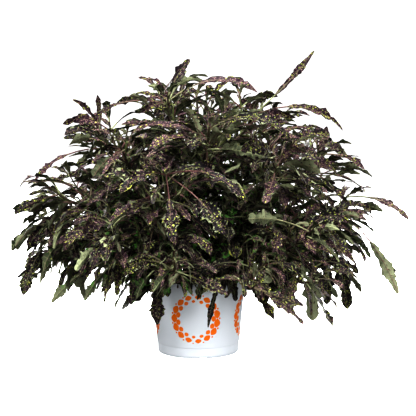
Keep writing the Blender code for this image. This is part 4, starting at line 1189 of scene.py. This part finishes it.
class Graph:
    """A material's node tree with one Principled shader."""

    def __init__(self, name):
        self.material = bpy.data.materials.new(name)
        self.material.use_nodes = True
        self.tree = self.material.node_tree
        self.shader = self.tree.nodes["Principled BSDF"]

    def add(self, kind, settings=None, inputs=None, output=0):
        """A node of a kind with its settings, then the values or links of its inputs. Gives one output."""
        node = self.tree.nodes.new(kind)
        for key, value in (settings or {}).items():
            setattr(node, key, value)
        for key, value in (inputs or {}).items():
            self.put(node.inputs[key], value)
        return Socket(self, node.outputs[output])

    def put(self, socket, value):
        """Links a value to a socket, or sets it there."""
        if isinstance(value, Socket):
            self.tree.links.new(value.socket, socket)
        elif isinstance(value, tuple) and len(value) == 3 and socket.type == "RGBA":
            socket.default_value = (*value, 1.0)
        else:
            socket.default_value = value

    def finish(self, **sockets):
        """Sets the shader's own sockets, named with _ for a space, and returns the material."""
        for key, value in sockets.items():
            self.put(self.shader.inputs[key.replace("_", " ").title().replace("Ior", "IOR")], value)
        return self.material

    def mix(self, factor, first, second):
        """A colour between two colours."""
        ends = [tuple(end) if not isinstance(end, Socket) else end for end in (first, second)]
        return self.add("ShaderNodeMix", {"data_type": "RGBA"}, {0: factor, 6: ends[0], 7: ends[1]}, 2)

    def parts(self, vector):
        """The three parts of a vector."""
        node = self.tree.nodes.new("ShaderNodeSeparateXYZ")
        self.put(node.inputs[0], vector)
        return [Socket(self, output) for output in node.outputs]

    def scaled(self, vector, scale):
        """A vector with each part scaled."""
        return self.add("ShaderNodeVectorMath", {"operation": "MULTIPLY"}, {0: vector, 1: scale})

    def angle(self, rise, run):
        """The angle of a slope, in radians, all the way round."""
        return self.add("ShaderNodeMath", {"operation": "ARCTAN2"}, {0: rise, 1: run})

    def attribute(self, name):
        """A vector that the mesh holds at each point."""
        return self.add("ShaderNodeAttribute", {"attribute_name": name}, None, "Vector")

    def place(self):
        """Where a point is in the object's own frame."""
        return self.add("ShaderNodeTexCoord", None, None, "Object")

    def height(self):
        """How high a point is above the floor."""
        return self.parts(self.place())[2]

    def depth(self):
        """The painted shade at a point: 1 in the middle of the plant, 0 in outer leaves and low hanging ones.
        """
        ends = {0: self.place(), 1: tuple(CROWN.tolist())}
        far = self.add("ShaderNodeVectorMath", {"operation": "DISTANCE"}, ends, "Value")
        return (1 - far.step(*PAINTED_SHADE_REACH)) * self.height().step(*PAINTED_SHADE_HEIGHT)

    def noise(self, vector, size, detail=2.0, output=0):
        """Smooth noise whose lumps have about this size, from 0 to 1."""
        inputs = {"Vector": vector, "Scale": 1 / size, "Detail": detail}
        return self.add("ShaderNodeTexNoise", None, inputs, output)

    def bump(self, height, depth):
        """The normal of a surface that is raised by a height, from 0 to 1, times a depth in metres."""
        return self.add("ShaderNodeBump", None, {"Height": height, "Distance": depth, "Strength": 1.0})


def leaf_traits(graph):
    """What a leaf's finish reads: place, share along, share across, tooth, and three draws."""
    place = graph.attribute("leaf_place")
    share, over, tooth = graph.parts(graph.attribute("leaf_form"))
    tones = graph.parts(graph.attribute("leaf_tone"))
    return place, share, over, tooth, tones


def side_veins(tooth, over):
    """1 on the slanted side veins, one to each tooth, and 0 between them."""
    slant = (tooth - VEIN_SLANT * abs(over) + VEIN_START).fraction() - 0.5
    return 1 - abs(slant).step(*VEIN_WIDTH)


def flecks(graph, place, amount, size):
    """1 on the flecks and 0 between them, and a draw that is alike all over a fleck.

    A fleck is the middle of a cell of a bent cell pattern. A cell has one if its draw is under the amount."""
    bent = graph.noise(place, FLECK_BEND_SIZE * size, 1.0, "Color")
    spread = graph.add("ShaderNodeVectorMath", {"operation": "SCALE"}, {0: bent, "Scale": FLECK_BEND * size})
    bent_place = graph.add("ShaderNodeVectorMath", {"operation": "ADD"}, {0: place, 1: spread})
    node = graph.tree.nodes.new("ShaderNodeTexVoronoi")
    graph.put(node.inputs["Vector"], graph.scaled(bent_place, FLECK_STRETCH))
    graph.put(node.inputs["Scale"], 1 / size)
    near = Socket(graph, node.outputs["Distance"])
    draw_one, draw_two, _ = graph.parts(Socket(graph, node.outputs["Color"]))
    kept = 1 - (draw_one - amount).step(-0.02, 0.02)
    reach = FLECK_REACH + FLECK_REACH_SPREAD * draw_two
    return kept * (1 - (near - reach).step(-FLECK_EDGE, FLECK_EDGE)), draw_two


def shaded(graph, colours, painted, shade_strength, depth, patch, tones):
    """A leaf's colour with painted shade inside the plant: nearly black, but green in patches on a few
    leaves.
    """
    painted = graph.mix(shade_strength * depth, painted, colours.inner)
    green = tones[0].step(*GREEN_LEAVES) * (patch - 0.5).step(*GREEN_PATCHES)
    return graph.mix(depth * green, painted, colours.inner_green)


def upper_material(colours):
    """A leaf's upper face: purple-black, with dense dull flecks, yellow-green ones, a rib, puckers, painted
    shade.
    """
    graph = Graph("leaf_upper")
    place, share, over, tooth, tones = leaf_traits(graph)
    _, across_rib, _ = graph.parts(place)
    patch = graph.noise(place, UPPER_PATCH, 3.0)
    depth = graph.depth()
    light = (patch + 0.9 * tones[0] - 0.75).step(-0.2, 0.65)
    ground = graph.mix(light, colours.blade, colours.blade_light)
    dusk_amount = 0.42 + 0.30 * tones[0] + 0.6 * (patch - 0.5)
    dusky, _ = flecks(graph, place, dusk_amount, DUSK_SIZE * colours.fleck_size)
    ground = graph.mix(dusky * (0.40 + 0.50 * light), ground, colours.dusk)
    low = 1 - graph.height().step(*LOW_FLECKS)
    amount = 0.12 + 0.32 * tones[1] + 0.3 * (patch - 0.5) + 0.06 * share + 0.22 * low
    mask, draw = flecks(graph, place, amount, colours.fleck_size)
    fleck = graph.mix(draw.step(0.76, 1.0), colours.fleck, colours.fleck_bright)
    painted = graph.mix(mask * (0.30 + 0.55 * tones[2]), ground, fleck)
    edge = (abs(over) + 0.9 * (patch - 0.5)).step(0.80, 1.0) * share.step(0.6, 0.9)
    painted = graph.mix(0.7 * edge * tones[2].step(0.84, 0.92), painted, colours.fleck_bright)
    # Painted shade: deep inside the plant the face is painted nearly black, with green patches on a few
    # leaves
    painted = shaded(graph, colours, painted, 0.90, depth, patch, tones)
    veins = side_veins(tooth, over)
    rib = 1 - abs(across_rib).step(RIB_EDGE, RIB_WIDTH + RIB_SWELL * (1 - 3 * share).most(0.0))
    rib_colour = graph.mix(tones[2], colours.stalk, colours.stalk_purple)
    painted = graph.mix(0.55 * rib * (1 - 0.8 * share), painted, rib_colour)
    fine = graph.noise(place, UPPER_GRAIN, 2.0)
    relief = 0.5 * fine + 0.5 * (1 - veins) + 0.35 * (1 - rib)
    return graph.finish(
        base_color=painted,
        roughness=0.30 + 0.16 * patch + 0.12 * mask + 0.4 * depth,
        specular_ior_level=0.14,
        normal=graph.bump(relief, UPPER_RELIEF),
    )


def underside_material(colours):
    """A leaf's underside: grey-green, dull, with raised veins, often purple; painted light low, painted shade
    inside.
    """
    graph = Graph("leaf_underside")
    place, _, over, tooth, tones = leaf_traits(graph)
    _, across_rib, _ = graph.parts(place)
    patch = graph.noise(place, UNDER_PATCH, 3.0)
    # Painted light: low on the plant the darker tone is cut back, so low undersides are painted paler
    low = 1 - graph.height().step(*LOW_PAINTED_LIGHT)
    shade = (patch + 0.7 * tones[0] - 0.55).step(-0.1, 0.6) * (1 - 0.75 * low)
    ground = graph.mix(shade, colours.underside, colours.underside_dark)
    shadow, _ = flecks(graph, place, 0.45 + 0.8 * (patch - 0.5), colours.fleck_size)
    ground = graph.mix(0.40 * shadow, ground, colours.blade_light)
    depth = graph.depth()
    # Painted shade: deep inside the plant the underside is painted nearly black, with green patches on a few
    # leaves
    ground = shaded(graph, colours, ground, 0.8, depth, patch, tones)
    veins = side_veins(tooth, over) * (1 - abs(over))
    rib = 1 - abs(across_rib).step(*UNDER_RIB_WIDTH)
    vein_colour = graph.mix(tones[2].step(0.3, 0.9), colours.stalk, colours.stalk_purple)
    painted = graph.mix((0.5 * rib + 0.55 * veins).least(1.0), ground, vein_colour)
    fine = graph.noise(place, UNDER_GRAIN, 2.0)
    return graph.finish(
        base_color=painted,
        roughness=0.62 + 0.12 * patch + 0.25 * depth,
        specular_ior_level=0.12,
        normal=graph.bump(0.4 * fine + 0.8 * veins + rib, UNDER_RELIEF),
    )


def stalk_material(colours):
    """Leaf stalks: pale green to purple, streaked along, and darker with painted shade inside the plant."""
    graph = Graph("leaf_stalk")
    place = graph.attribute("leaf_place")
    tones = graph.parts(graph.attribute("leaf_tone"))
    streak = graph.noise(graph.scaled(place, STALK_STRETCH), STALK_STREAK, 2.0)
    purple = (tones[2] + 0.5 * (streak - 0.5)).step(0.35, 0.85)
    colour = graph.mix(purple, colours.stalk, colours.stalk_purple)
    # Painted shade: the stalk is darkened towards the inner colour deep inside the plant
    colour = graph.mix(0.22 * graph.depth(), colour, colours.inner)
    return graph.finish(
        base_color=colour,
        roughness=0.45 + 0.2 * streak,
        specular_ior_level=0.25,
        normal=graph.bump(streak, STALK_RELIEF),
    )


def stem_material(colours):
    """Stems: green to purple, streaked along, brown and woody near the compost, and painted shade inside the
    plant.
    """
    graph = Graph("stem_bark")
    place = graph.attribute("leaf_place")
    tones = graph.parts(graph.attribute("leaf_tone"))
    streak = graph.noise(graph.scaled(place, BARK_STRETCH), BARK_STREAK, 3.0)
    purple = (streak + 0.8 * tones[0] - 0.5).step(0.1, 0.7)
    young = graph.mix(purple, colours.stem, colours.stem_purple)
    woody = 1 - graph.height().step(*WOODY)
    colour = graph.mix(0.75 * woody, young, linear(86, 70, 52))
    # Painted shade: the stem is darkened towards the inner colour deep inside the plant
    colour = graph.mix(0.35 * graph.depth(), colour, colours.inner)
    return graph.finish(
        base_color=colour,
        roughness=0.5 + 0.25 * streak,
        specular_ior_level=0.22,
        normal=graph.bump(streak, BARK_RELIEF),
    )


def plastic_material(pot):
    """White moulded plastic with rings of printed lozenges, ovals and dots.

    Round the pot, the arc from the nearest ring's middle and the height above it give polar coordinates in
    the print: a row of lozenges that lie along the ring, one of ovals inside it and one of dots outside it.
    They are larger at the sides of the ring than at its top and bottom. Only the outer face is printed."""
    graph = Graph("pot_print_plastic")
    x, y, z = graph.parts(graph.place())
    slot = 2 * math.pi / pot.rings
    radius = wall_radius(z)
    arc = (((graph.angle(y, x) - FIRST_RING) / slot + 0.5).fraction() - 0.5) * slot * radius
    up = z - pot.ring_height
    out = (arc * arc + up * up) ** 0.5
    around = graph.angle(up, arc) / (2 * math.pi) * pot.motifs
    outer = (around.fraction() - 0.5) * (2 * math.pi / pot.motifs) * out
    inner = ((around + 0.5).fraction() - 0.5) * (2 * math.pi / pot.motifs) * out

    def row(sideways, size, away, half_long, half_wide, power):
        """1 in a row's motifs, where |along / half_long| ** power + |across / half_wide| ** power < 1."""
        along = abs(sideways / (half_long * size)) ** power
        over = abs((out - (pot.ring_radius + away)) / (half_wide * size)) ** power
        return 1 - (along + over).step(*MOTIF_EDGE)

    size = MOTIF_SIZE + MOTIF_SWELL * (abs(arc) / out)
    ink_mask = row(outer, size, *LOZENGES)
    ink_mask = ink_mask.most(row(inner, size - OVAL_LOSS, *OVALS)).most(row(inner, size, *DOTS))
    outside = (x * x + y * y) ** 0.5
    ink_mask = ink_mask * (outside - radius + INK_BAND).step(-INK_FADE, 0.0)
    grain = graph.noise(graph.place(), PLASTIC_GRAIN, 2.0)
    cloud = graph.noise(graph.place(), PLASTIC_CLOUD, 2.0)
    white = graph.mix(0.35 * cloud, pot.plastic, linear(220, 226, 233))
    # Painted shade: the white darkens to grey-blue within the bottom few millimetres, patchy with the cloud
    painted_foot_shade = (1 - z.step(0.0, FOOT_SHADE_HEIGHT)) * (0.5 + 0.5 * cloud)
    white = graph.mix(0.6 * painted_foot_shade, white, linear(160, 168, 176))
    ink = graph.mix(0.3 * cloud, pot.ink, linear(236, 118, 10))
    return graph.finish(
        base_color=graph.mix(ink_mask, white, ink),
        roughness=0.34 + 0.12 * grain + 0.08 * ink_mask,
        specular_ior_level=0.22,
        normal=graph.bump(grain, PLASTIC_RELIEF),
    )


def compost_material(compost):
    """Damp compost: dark, dull and crumbly, with paler fibres."""
    graph = Graph("compost_crumb")
    lumps = graph.noise(graph.place(), LUMP_GRAIN, 4.0)
    fibres = graph.noise(graph.scaled(graph.place(), FIBRE_STRETCH), FIBRE_WIDTH, 3.0)
    colour = graph.mix((fibres + 0.3 * lumps).step(0.70, 0.85), compost.dark, compost.light)
    return graph.finish(
        base_color=colour,
        roughness=0.85 + 0.1 * lumps,
        specular_ior_level=0.2,
        normal=graph.bump(0.6 * lumps + 0.4 * fibres, LUMP_RELIEF),
    )


def rounded(profile, size):
    """A profile with its corners rounded: each becomes three points of the curve between points near it.

    size is how far from the corner the curve begins, and never more than 0.4 of the way to the next one."""
    profile = np.array(profile, float)
    before, corner, after = profile[:-2], profile[1:-1], profile[2:]
    back, on = before - corner, after - corner
    long_back, long_on = (np.linalg.norm(way, axis=1)[:, None] for way in (back, on))
    start = corner + back / long_back * np.minimum(size, 0.4 * long_back)
    end = corner + on / long_on * np.minimum(size, 0.4 * long_on)
    arcs = np.stack((start, (start + 2 * corner + end) / 4, end), axis=1).reshape(-1, 2)
    return np.concatenate((profile[:1], arcs, profile[-1:]))


def lathe(profile, sides):
    """Rings (rows, sides, 3) of a profile of (radius, height) carried round the axis, from below to above."""
    angle = np.linspace(0, 2 * math.pi, sides, endpoint=False)
    radius, height = profile[:, 0, None], profile[:, 1, None]
    level = np.broadcast_to(height, (len(profile), sides))
    return np.stack((radius * np.cos(angle), radius * np.sin(angle), level), -1)


def wall_radius(height):
    """The outer radius of the pot's wall at a height above the step ring."""
    return POT_BASE_RADIUS + (POT_WALL_TOP_RADIUS - POT_BASE_RADIUS) * height / (POT_HEIGHT - POT_RIM_DROP)


def pot_rings():
    """The pot's skin: its rounded profile carried round the axis, with its foot lifted at the notches."""
    rim_under = POT_HEIGHT - POT_RIM_DROP
    step_radius = wall_radius(POT_STEP_HEIGHT)
    raised = CHANNEL_HEIGHT + POT_WALL
    outside = (
        (POLE_RADIUS, 0),
        (PAD_RADIUS, 0),
        (PAD_RADIUS + CHANNEL_SLOPE, CHANNEL_HEIGHT),
        (CHANNEL_OUTER_RADIUS - CHANNEL_SLOPE, CHANNEL_HEIGHT),
        (CHANNEL_OUTER_RADIUS, 0),
        (POT_BASE_RADIUS - EDGE_CHAMFER, 0),
        (POT_BASE_RADIUS, EDGE_CHAMFER),
        (step_radius - POT_STEP_OUT, POT_STEP_HEIGHT),
        (step_radius, POT_STEP_HEIGHT + POT_STEP_OUT),
        (POT_WALL_TOP_RADIUS, rim_under),
        (POT_RIM_RADIUS, rim_under + RIM_UNDER_SLOPE),
        (POT_RIM_RADIUS, POT_HEIGHT - EDGE_CHAMFER),
        (POT_RIM_RADIUS - EDGE_CHAMFER, POT_HEIGHT),
        (POT_WALL_TOP_RADIUS - POT_WALL, POT_HEIGHT),
        (POT_WALL_TOP_RADIUS - POT_WALL, rim_under),
        (step_radius - POT_WALL, POT_STEP_HEIGHT),
        (POT_BASE_RADIUS - POT_WALL - EDGE_CHAMFER, POT_WALL),
        (CHANNEL_OUTER_RADIUS + POT_WALL, POT_WALL),
        (CHANNEL_OUTER_RADIUS - CHANNEL_SLOPE + POT_WALL, raised),
        (PAD_RADIUS + CHANNEL_SLOPE - POT_WALL, raised),
        (PAD_RADIUS - POT_WALL, POT_WALL),
        (POLE_RADIUS, POT_WALL),
    )
    rings = lathe(rounded(outside, CORNER_ROUNDING), POT_SIDES)
    turn = np.arctan2(rings[..., 1], rings[..., 0]) - FIRST_NOTCH
    slot = 2 * math.pi / FOOT_NOTCHES
    away = np.abs((turn / slot + 0.5) % 1 - 0.5) * slot * POT_BASE_RADIUS
    lift = NOTCH_HEIGHT * ramp(NOTCH_FULLNESS * (1 - (2 * away / NOTCH_WIDTH) ** 4))
    outer = np.hypot(rings[..., 0], rings[..., 1]) > CHANNEL_OUTER_RADIUS - NOTCH_INSIDE
    under = np.arange(len(rings))[:, None] < len(rings) // 2
    foot = outer & under & (rings[..., 2] < NOTCH_BELOW)
    rings[..., 2] = np.where(foot, np.maximum(rings[..., 2], lift), rings[..., 2])
    return rings


def cut(solid, cutters):
    """Cuts the cutters out of a solid and removes them."""
    group = bpy.data.collections.new("cutters")
    bpy.context.scene.collection.children.link(group)
    for cutter in cutters:
        bpy.context.scene.collection.objects.unlink(cutter)
        group.objects.link(cutter)
    step = solid.modifiers.new("Cut", "BOOLEAN")
    step.operation = "DIFFERENCE"
    step.operand_type = "COLLECTION"
    step.collection = group
    mesh = bpy.data.meshes.new_from_object(solid.evaluated_get(bpy.context.evaluated_depsgraph_get()))
    solid.modifiers.remove(step)
    solid.data = mesh
    for cutter in cutters:
        bpy.data.objects.remove(cutter)
    bpy.data.collections.remove(group)
    mesh.set_sharp_from_angle(angle=CUT_EDGE)


def skin_object(name, rings, ends, material):
    """An object from the rings of one closed skin and its two poles."""
    quads, fans = skin_faces(*rings.shape[:2])
    points = np.concatenate((rings.reshape(-1, 3), ends))
    return mesh_object(name, points, quads, fans, 0, [material])


def place_piece(piece, slot, *nodes):
    """Makes a finished piece ride on the body and stand for the nodes it replaces."""
    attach(piece, BODY)
    if nodes:
        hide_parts(*nodes)


def compost_rings():
    """The compost's skin: the inside of the pot up to the soil line, and a lumpy top.

    The top is raised by a few waves of each size in random directions, and not at all at the pot's wall."""
    gap = POT_WALL + FIT_GAP
    inner_top = wall_radius(SOIL_TOP) - gap
    raised = CHANNEL_HEIGHT + gap
    below = np.array(
        (
            (POLE_RADIUS, gap),
            (PAD_RADIUS - gap, gap),
            (PAD_RADIUS + CHANNEL_SLOPE - gap, raised),
            (CHANNEL_OUTER_RADIUS - CHANNEL_SLOPE + gap, raised),
            (POT_BASE_RADIUS - gap - EDGE_CHAMFER, gap),
            (wall_radius(POT_STEP_HEIGHT) - gap, POT_STEP_HEIGHT),
        )
    )
    top_radii = np.linspace(inner_top, TOP_POLE_RADIUS, COMPOST_ROWS)
    top = np.stack((top_radii, np.full(COMPOST_ROWS, SOIL_TOP)), axis=1)
    rings = lathe(np.concatenate((below, top)), COMPOST_SIDES)
    draw = np.random.default_rng((SEED, COMPOST_STREAM))
    spread = ramp((inner_top - np.hypot(rings[..., 0], rings[..., 1])) / SOIL_MARGIN)
    lumps = np.full(rings.shape[:2], SOIL_RISE)
    for size in LUMP_SIZES:
        for _ in range(LUMP_WAVES):
            turn, phase = draw.uniform(0, 2 * math.pi, 2)
            wave = rings[..., 0] * math.cos(turn) + rings[..., 1] * math.sin(turn)
            lumps += LUMP_HEIGHT * size * np.sin(2 * math.pi * wave / size + phase)
    rings[len(below) :, :, 2] += (lumps * spread)[len(below) :]
    return rings


def crumb_rings(draw, place, size):
    """A crumb: rings of a ball whose radius is drawn at each point, and which is stretched at random."""
    polar = np.linspace(0, math.pi, CRUMB_ROWS + 2)[1:-1]
    ball = lathe(np.stack((np.sin(polar), -np.cos(polar)), axis=1), CRUMB_SIDES)
    reach = size * draw.uniform(*CRUMB_SPREAD, ball.shape[:2])[..., None] * draw.uniform(*CRUMB_STRETCH, 3)
    return place + ball * reach


def studio_light(name, place, size, aim, power):
    """A square soft light that looks at the pot's axis at the height aim."""
    light = bpy.data.lights.new(name, "AREA")
    light.energy = power
    light.size = size
    made = bpy.data.objects.new(name, light)
    made.location = place
    way = np.array((0, 0, aim)) - np.array(place)
    tilt = math.atan2(math.hypot(way[0], way[1]), -way[2])
    made.rotation_euler = (tilt, 0, math.atan2(way[1], way[0]) - math.pi / 2)
    bpy.context.scene.collection.objects.link(made)


def studio_floor(settings):
    """A round floor that curves up into a wall, so that the ground is pale from every side.

    Its profile is carried round the axis, and its faces look inwards and up."""
    turn = np.linspace(0, math.pi / 2, CURVE_ROWS)
    flat = np.linspace((FLOOR_MIDDLE, 0), (FLOOR_RADIUS, 0), FLOOR_ROWS)
    curve = np.stack((FLOOR_RADIUS + WALL_CURVE * np.sin(turn), WALL_CURVE * (1 - np.cos(turn))), 1)
    wall = ((FLOOR_RADIUS + WALL_CURVE, WALL_HEIGHT),)
    rings = lathe(np.concatenate((flat, curve[1:], wall)), FLOOR_SIDES)
    quads, fans = skin_faces(*rings.shape[:2])
    points = np.concatenate((rings.reshape(-1, 3), np.zeros((1, 3))))
    middle = fans[:FLOOR_SIDES]
    graph = Graph("studio_floor")
    paper = graph.noise(graph.place(), PAPER_CLOUD, 2.0)
    finish = graph.finish(
        base_color=graph.mix(0.3 * paper, settings.floor, linear(240, 240, 240)),
        roughness=0.9,
        emission_color=(1.0, 1.0, 1.0),
        emission_strength=FLOOR_GLOW,
    )
    floor = mesh_object("studio_floor", points, np.flip(quads, 1), np.flip(middle, 1), 0, [finish])
    floor.visible_diffuse = False
    floor.visible_glossy = False
    floor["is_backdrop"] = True


class ColeusOperator(bpy.types.Operator):
    """What the operators share."""

    bl_options = {"REGISTER", "UNDO"}


class COLEUS_OT_pot(ColeusOperator):
    """Makes the printed plastic pot"""

    bl_idname = "coleus.pot"
    bl_label = "Pot"

    def execute(self, context):
        ends = np.array(((0, 0, 0), (0, 0, POT_WALL)))
        finish = plastic_material(context.scene.coleus_pot)
        pot = skin_object("printed_pot", pot_rings(), ends, finish)
        middle = (PAD_RADIUS + CHANNEL_OUTER_RADIUS) / 2
        holes = []
        for i in range(DRAIN_HOLES):
            a = 2 * math.pi * (i + 0.5) / DRAIN_HOLES
            foot = np.array((middle * math.cos(a), middle * math.sin(a), DRAIN_CUT_FROM))
            line = np.array((foot, foot + DRAIN_CUT_LENGTH * UP))
            rings = tube_rings(line, (DRAIN_RADIUS, DRAIN_RADIUS), DRAIN_SIDES)
            holes.append(skin_object("drain_hole", rings, line, None))
        cut(pot, holes)
        place_piece(pot, POT_SLOT, "pot")
        return {"FINISHED"}


class COLEUS_OT_compost(ColeusOperator):
    """Makes the compost and the loose crumbs on it"""

    bl_idname = "coleus.compost"
    bl_label = "Compost"

    def execute(self, context):
        settings = context.scene.coleus_compost
        finish = compost_material(settings)
        rings = compost_rings()
        ends = np.array(((0, 0, POT_WALL + FIT_GAP), rings[-1].mean(axis=0)))
        compost = skin_object("compost", rings, ends, finish)
        place_piece(compost, COMPOST_SLOT, "potting_soil")
        draw = np.random.default_rng((SEED, CRUMB_STREAM))
        crumbs = Piece()
        flat = np.zeros(3)
        for _ in range(settings.crumbs):
            far = (wall_radius(SOIL_TOP) - SOIL_MARGIN) * math.sqrt(draw.random())
            turn = draw.uniform(0, 2 * math.pi)
            place = np.array((far * math.cos(turn), far * math.sin(turn), SOIL_TOP + CRUMB_SEAT))
            rings = crumb_rings(draw, place, draw.uniform(*CRUMB_SIZE))
            ends = np.stack((rings[0].mean(axis=0), rings[-1].mean(axis=0)))
            crumbs.add(rings, ends, 0, np.zeros(2 * rings.shape[1], int), place=flat, form=flat, tone=flat)
        place_piece(crumbs.make("compost_crumbs", [finish]), COMPOST_SLOT)
        return {"FINISHED"}


def of_shoot(things, k):
    """The branches or leaves that belong to shoot k."""
    return [thing for thing in things if thing.shoot == k]


class COLEUS_OT_shoots(ColeusOperator):
    """Makes the leafy shoots"""

    bl_idname = "coleus.shoots"
    bl_label = "Shoots"

    def execute(self, context):
        settings = context.scene.coleus_foliage
        finishes = (upper_material, underside_material, stalk_material, stem_material)
        looks = [make(settings) for make in finishes]
        thicket, branches, leaves = grow()
        sprigs = side_sprigs(branches, settings.sprig_step)
        small = fill_out(thicket, sprigs)
        for k in range(SHOOTS):
            piece = Piece()
            for number, branch in enumerate(of_shoot(branches, k)):
                stem_skin(piece, branch, STEM_RING, STEM_STEPS, number)
            for number, sprig in enumerate(of_shoot(sprigs, k)):
                stem_skin(piece, sprig, SPRIG_RING, 1, number)
            for number, leaf in enumerate(of_shoot(leaves, k)):
                teeth = YOUNG_TEETH if leaf.blade < YOUNG_BLADE else MAIN_TEETH
                leaf_skin(piece, leaf, BROAD_COLUMNS, PETIOLE_ROWS, teeth, number)
            for number, leaf in enumerate(of_shoot(small, k), FIRST_SMALL_LEAF):
                leaf_skin(piece, leaf, SPRIG_COLUMNS, SPRIG_PETIOLE_ROWS, SPRIG_TEETH, number)
            made = piece.make(f"coleus_shoot_{k + 1:02d}", looks)
            place_piece(made, FOLIAGE_SLOT, f"leafy_shoot_{k + 1:02d}")
        return {"FINISHED"}


class COLEUS_OT_stage(ColeusOperator):
    """Makes the camera, the lights and the floor"""

    bl_idname = "coleus.stage"
    bl_label = "Stage"

    def execute(self, context):
        scene, settings = context.scene, context.scene.coleus_stage
        scene.view_settings.view_transform = "Standard"
        scene.view_settings.gamma = settings.gamma
        camera = bpy.data.objects.new("camera", bpy.data.cameras.new("camera"))
        camera.location = VIEWER
        camera.rotation_euler = (math.pi / 2 - CAMERA_DOWN, 0, 0)
        camera.data.lens = settings.lens
        camera.data.sensor_width = SENSOR_WIDTH
        scene.collection.objects.link(camera)
        scene.camera = camera
        world = bpy.data.worlds.new("studio")
        world.use_nodes = True
        background = world.node_tree.nodes["Background"]
        background.inputs["Color"].default_value = (1, 1, 1, 1)
        background.inputs["Strength"].default_value = settings.sky
        scene.world = world
        studio_floor(settings)
        for name, (place, size, aim, power) in LIGHTS.items():
            studio_light(name, place, size, aim, getattr(settings, power))
        return {"FINISHED"}


class COLEUS_PT_sidebar(bpy.types.Panel):
    """The settings and the operators in the sidebar of the 3D view"""

    bl_idname = "COLEUS_PT_sidebar"
    bl_label = "Potted coleus"
    bl_space_type = "VIEW_3D"
    bl_region_type = "UI"
    bl_category = "Coleus"

    def draw(self, context):
        for name in SETTINGS:
            group = getattr(context.scene, name)
            box = self.layout.box()
            for key in group.__annotations__:
                box.prop(group, key)
        for operator in OPERATORS:
            self.layout.operator(operator.bl_idname)


SETTINGS = {
    "coleus_pot": PotSettings,
    "coleus_compost": CompostSettings,
    "coleus_foliage": FoliageSettings,
    "coleus_stage": StageSettings,
}
OPERATORS = (COLEUS_OT_pot, COLEUS_OT_compost, COLEUS_OT_shoots, COLEUS_OT_stage)
CLASSES = (*SETTINGS.values(), *OPERATORS, COLEUS_PT_sidebar)


def register():
    for made in CLASSES:
        bpy.utils.register_class(made)
    for name, group in SETTINGS.items():
        setattr(bpy.types.Scene, name, bpy.props.PointerProperty(type=group))


def unregister():
    for name in SETTINGS:
        delattr(bpy.types.Scene, name)
    for made in reversed(CLASSES):
        bpy.utils.unregister_class(made)


def main():
    register()
    bpy.ops.coleus.pot()
    bpy.ops.coleus.compost()
    bpy.ops.coleus.shoots()
    bpy.ops.coleus.stage()


if __name__ == "__main__":
    main()
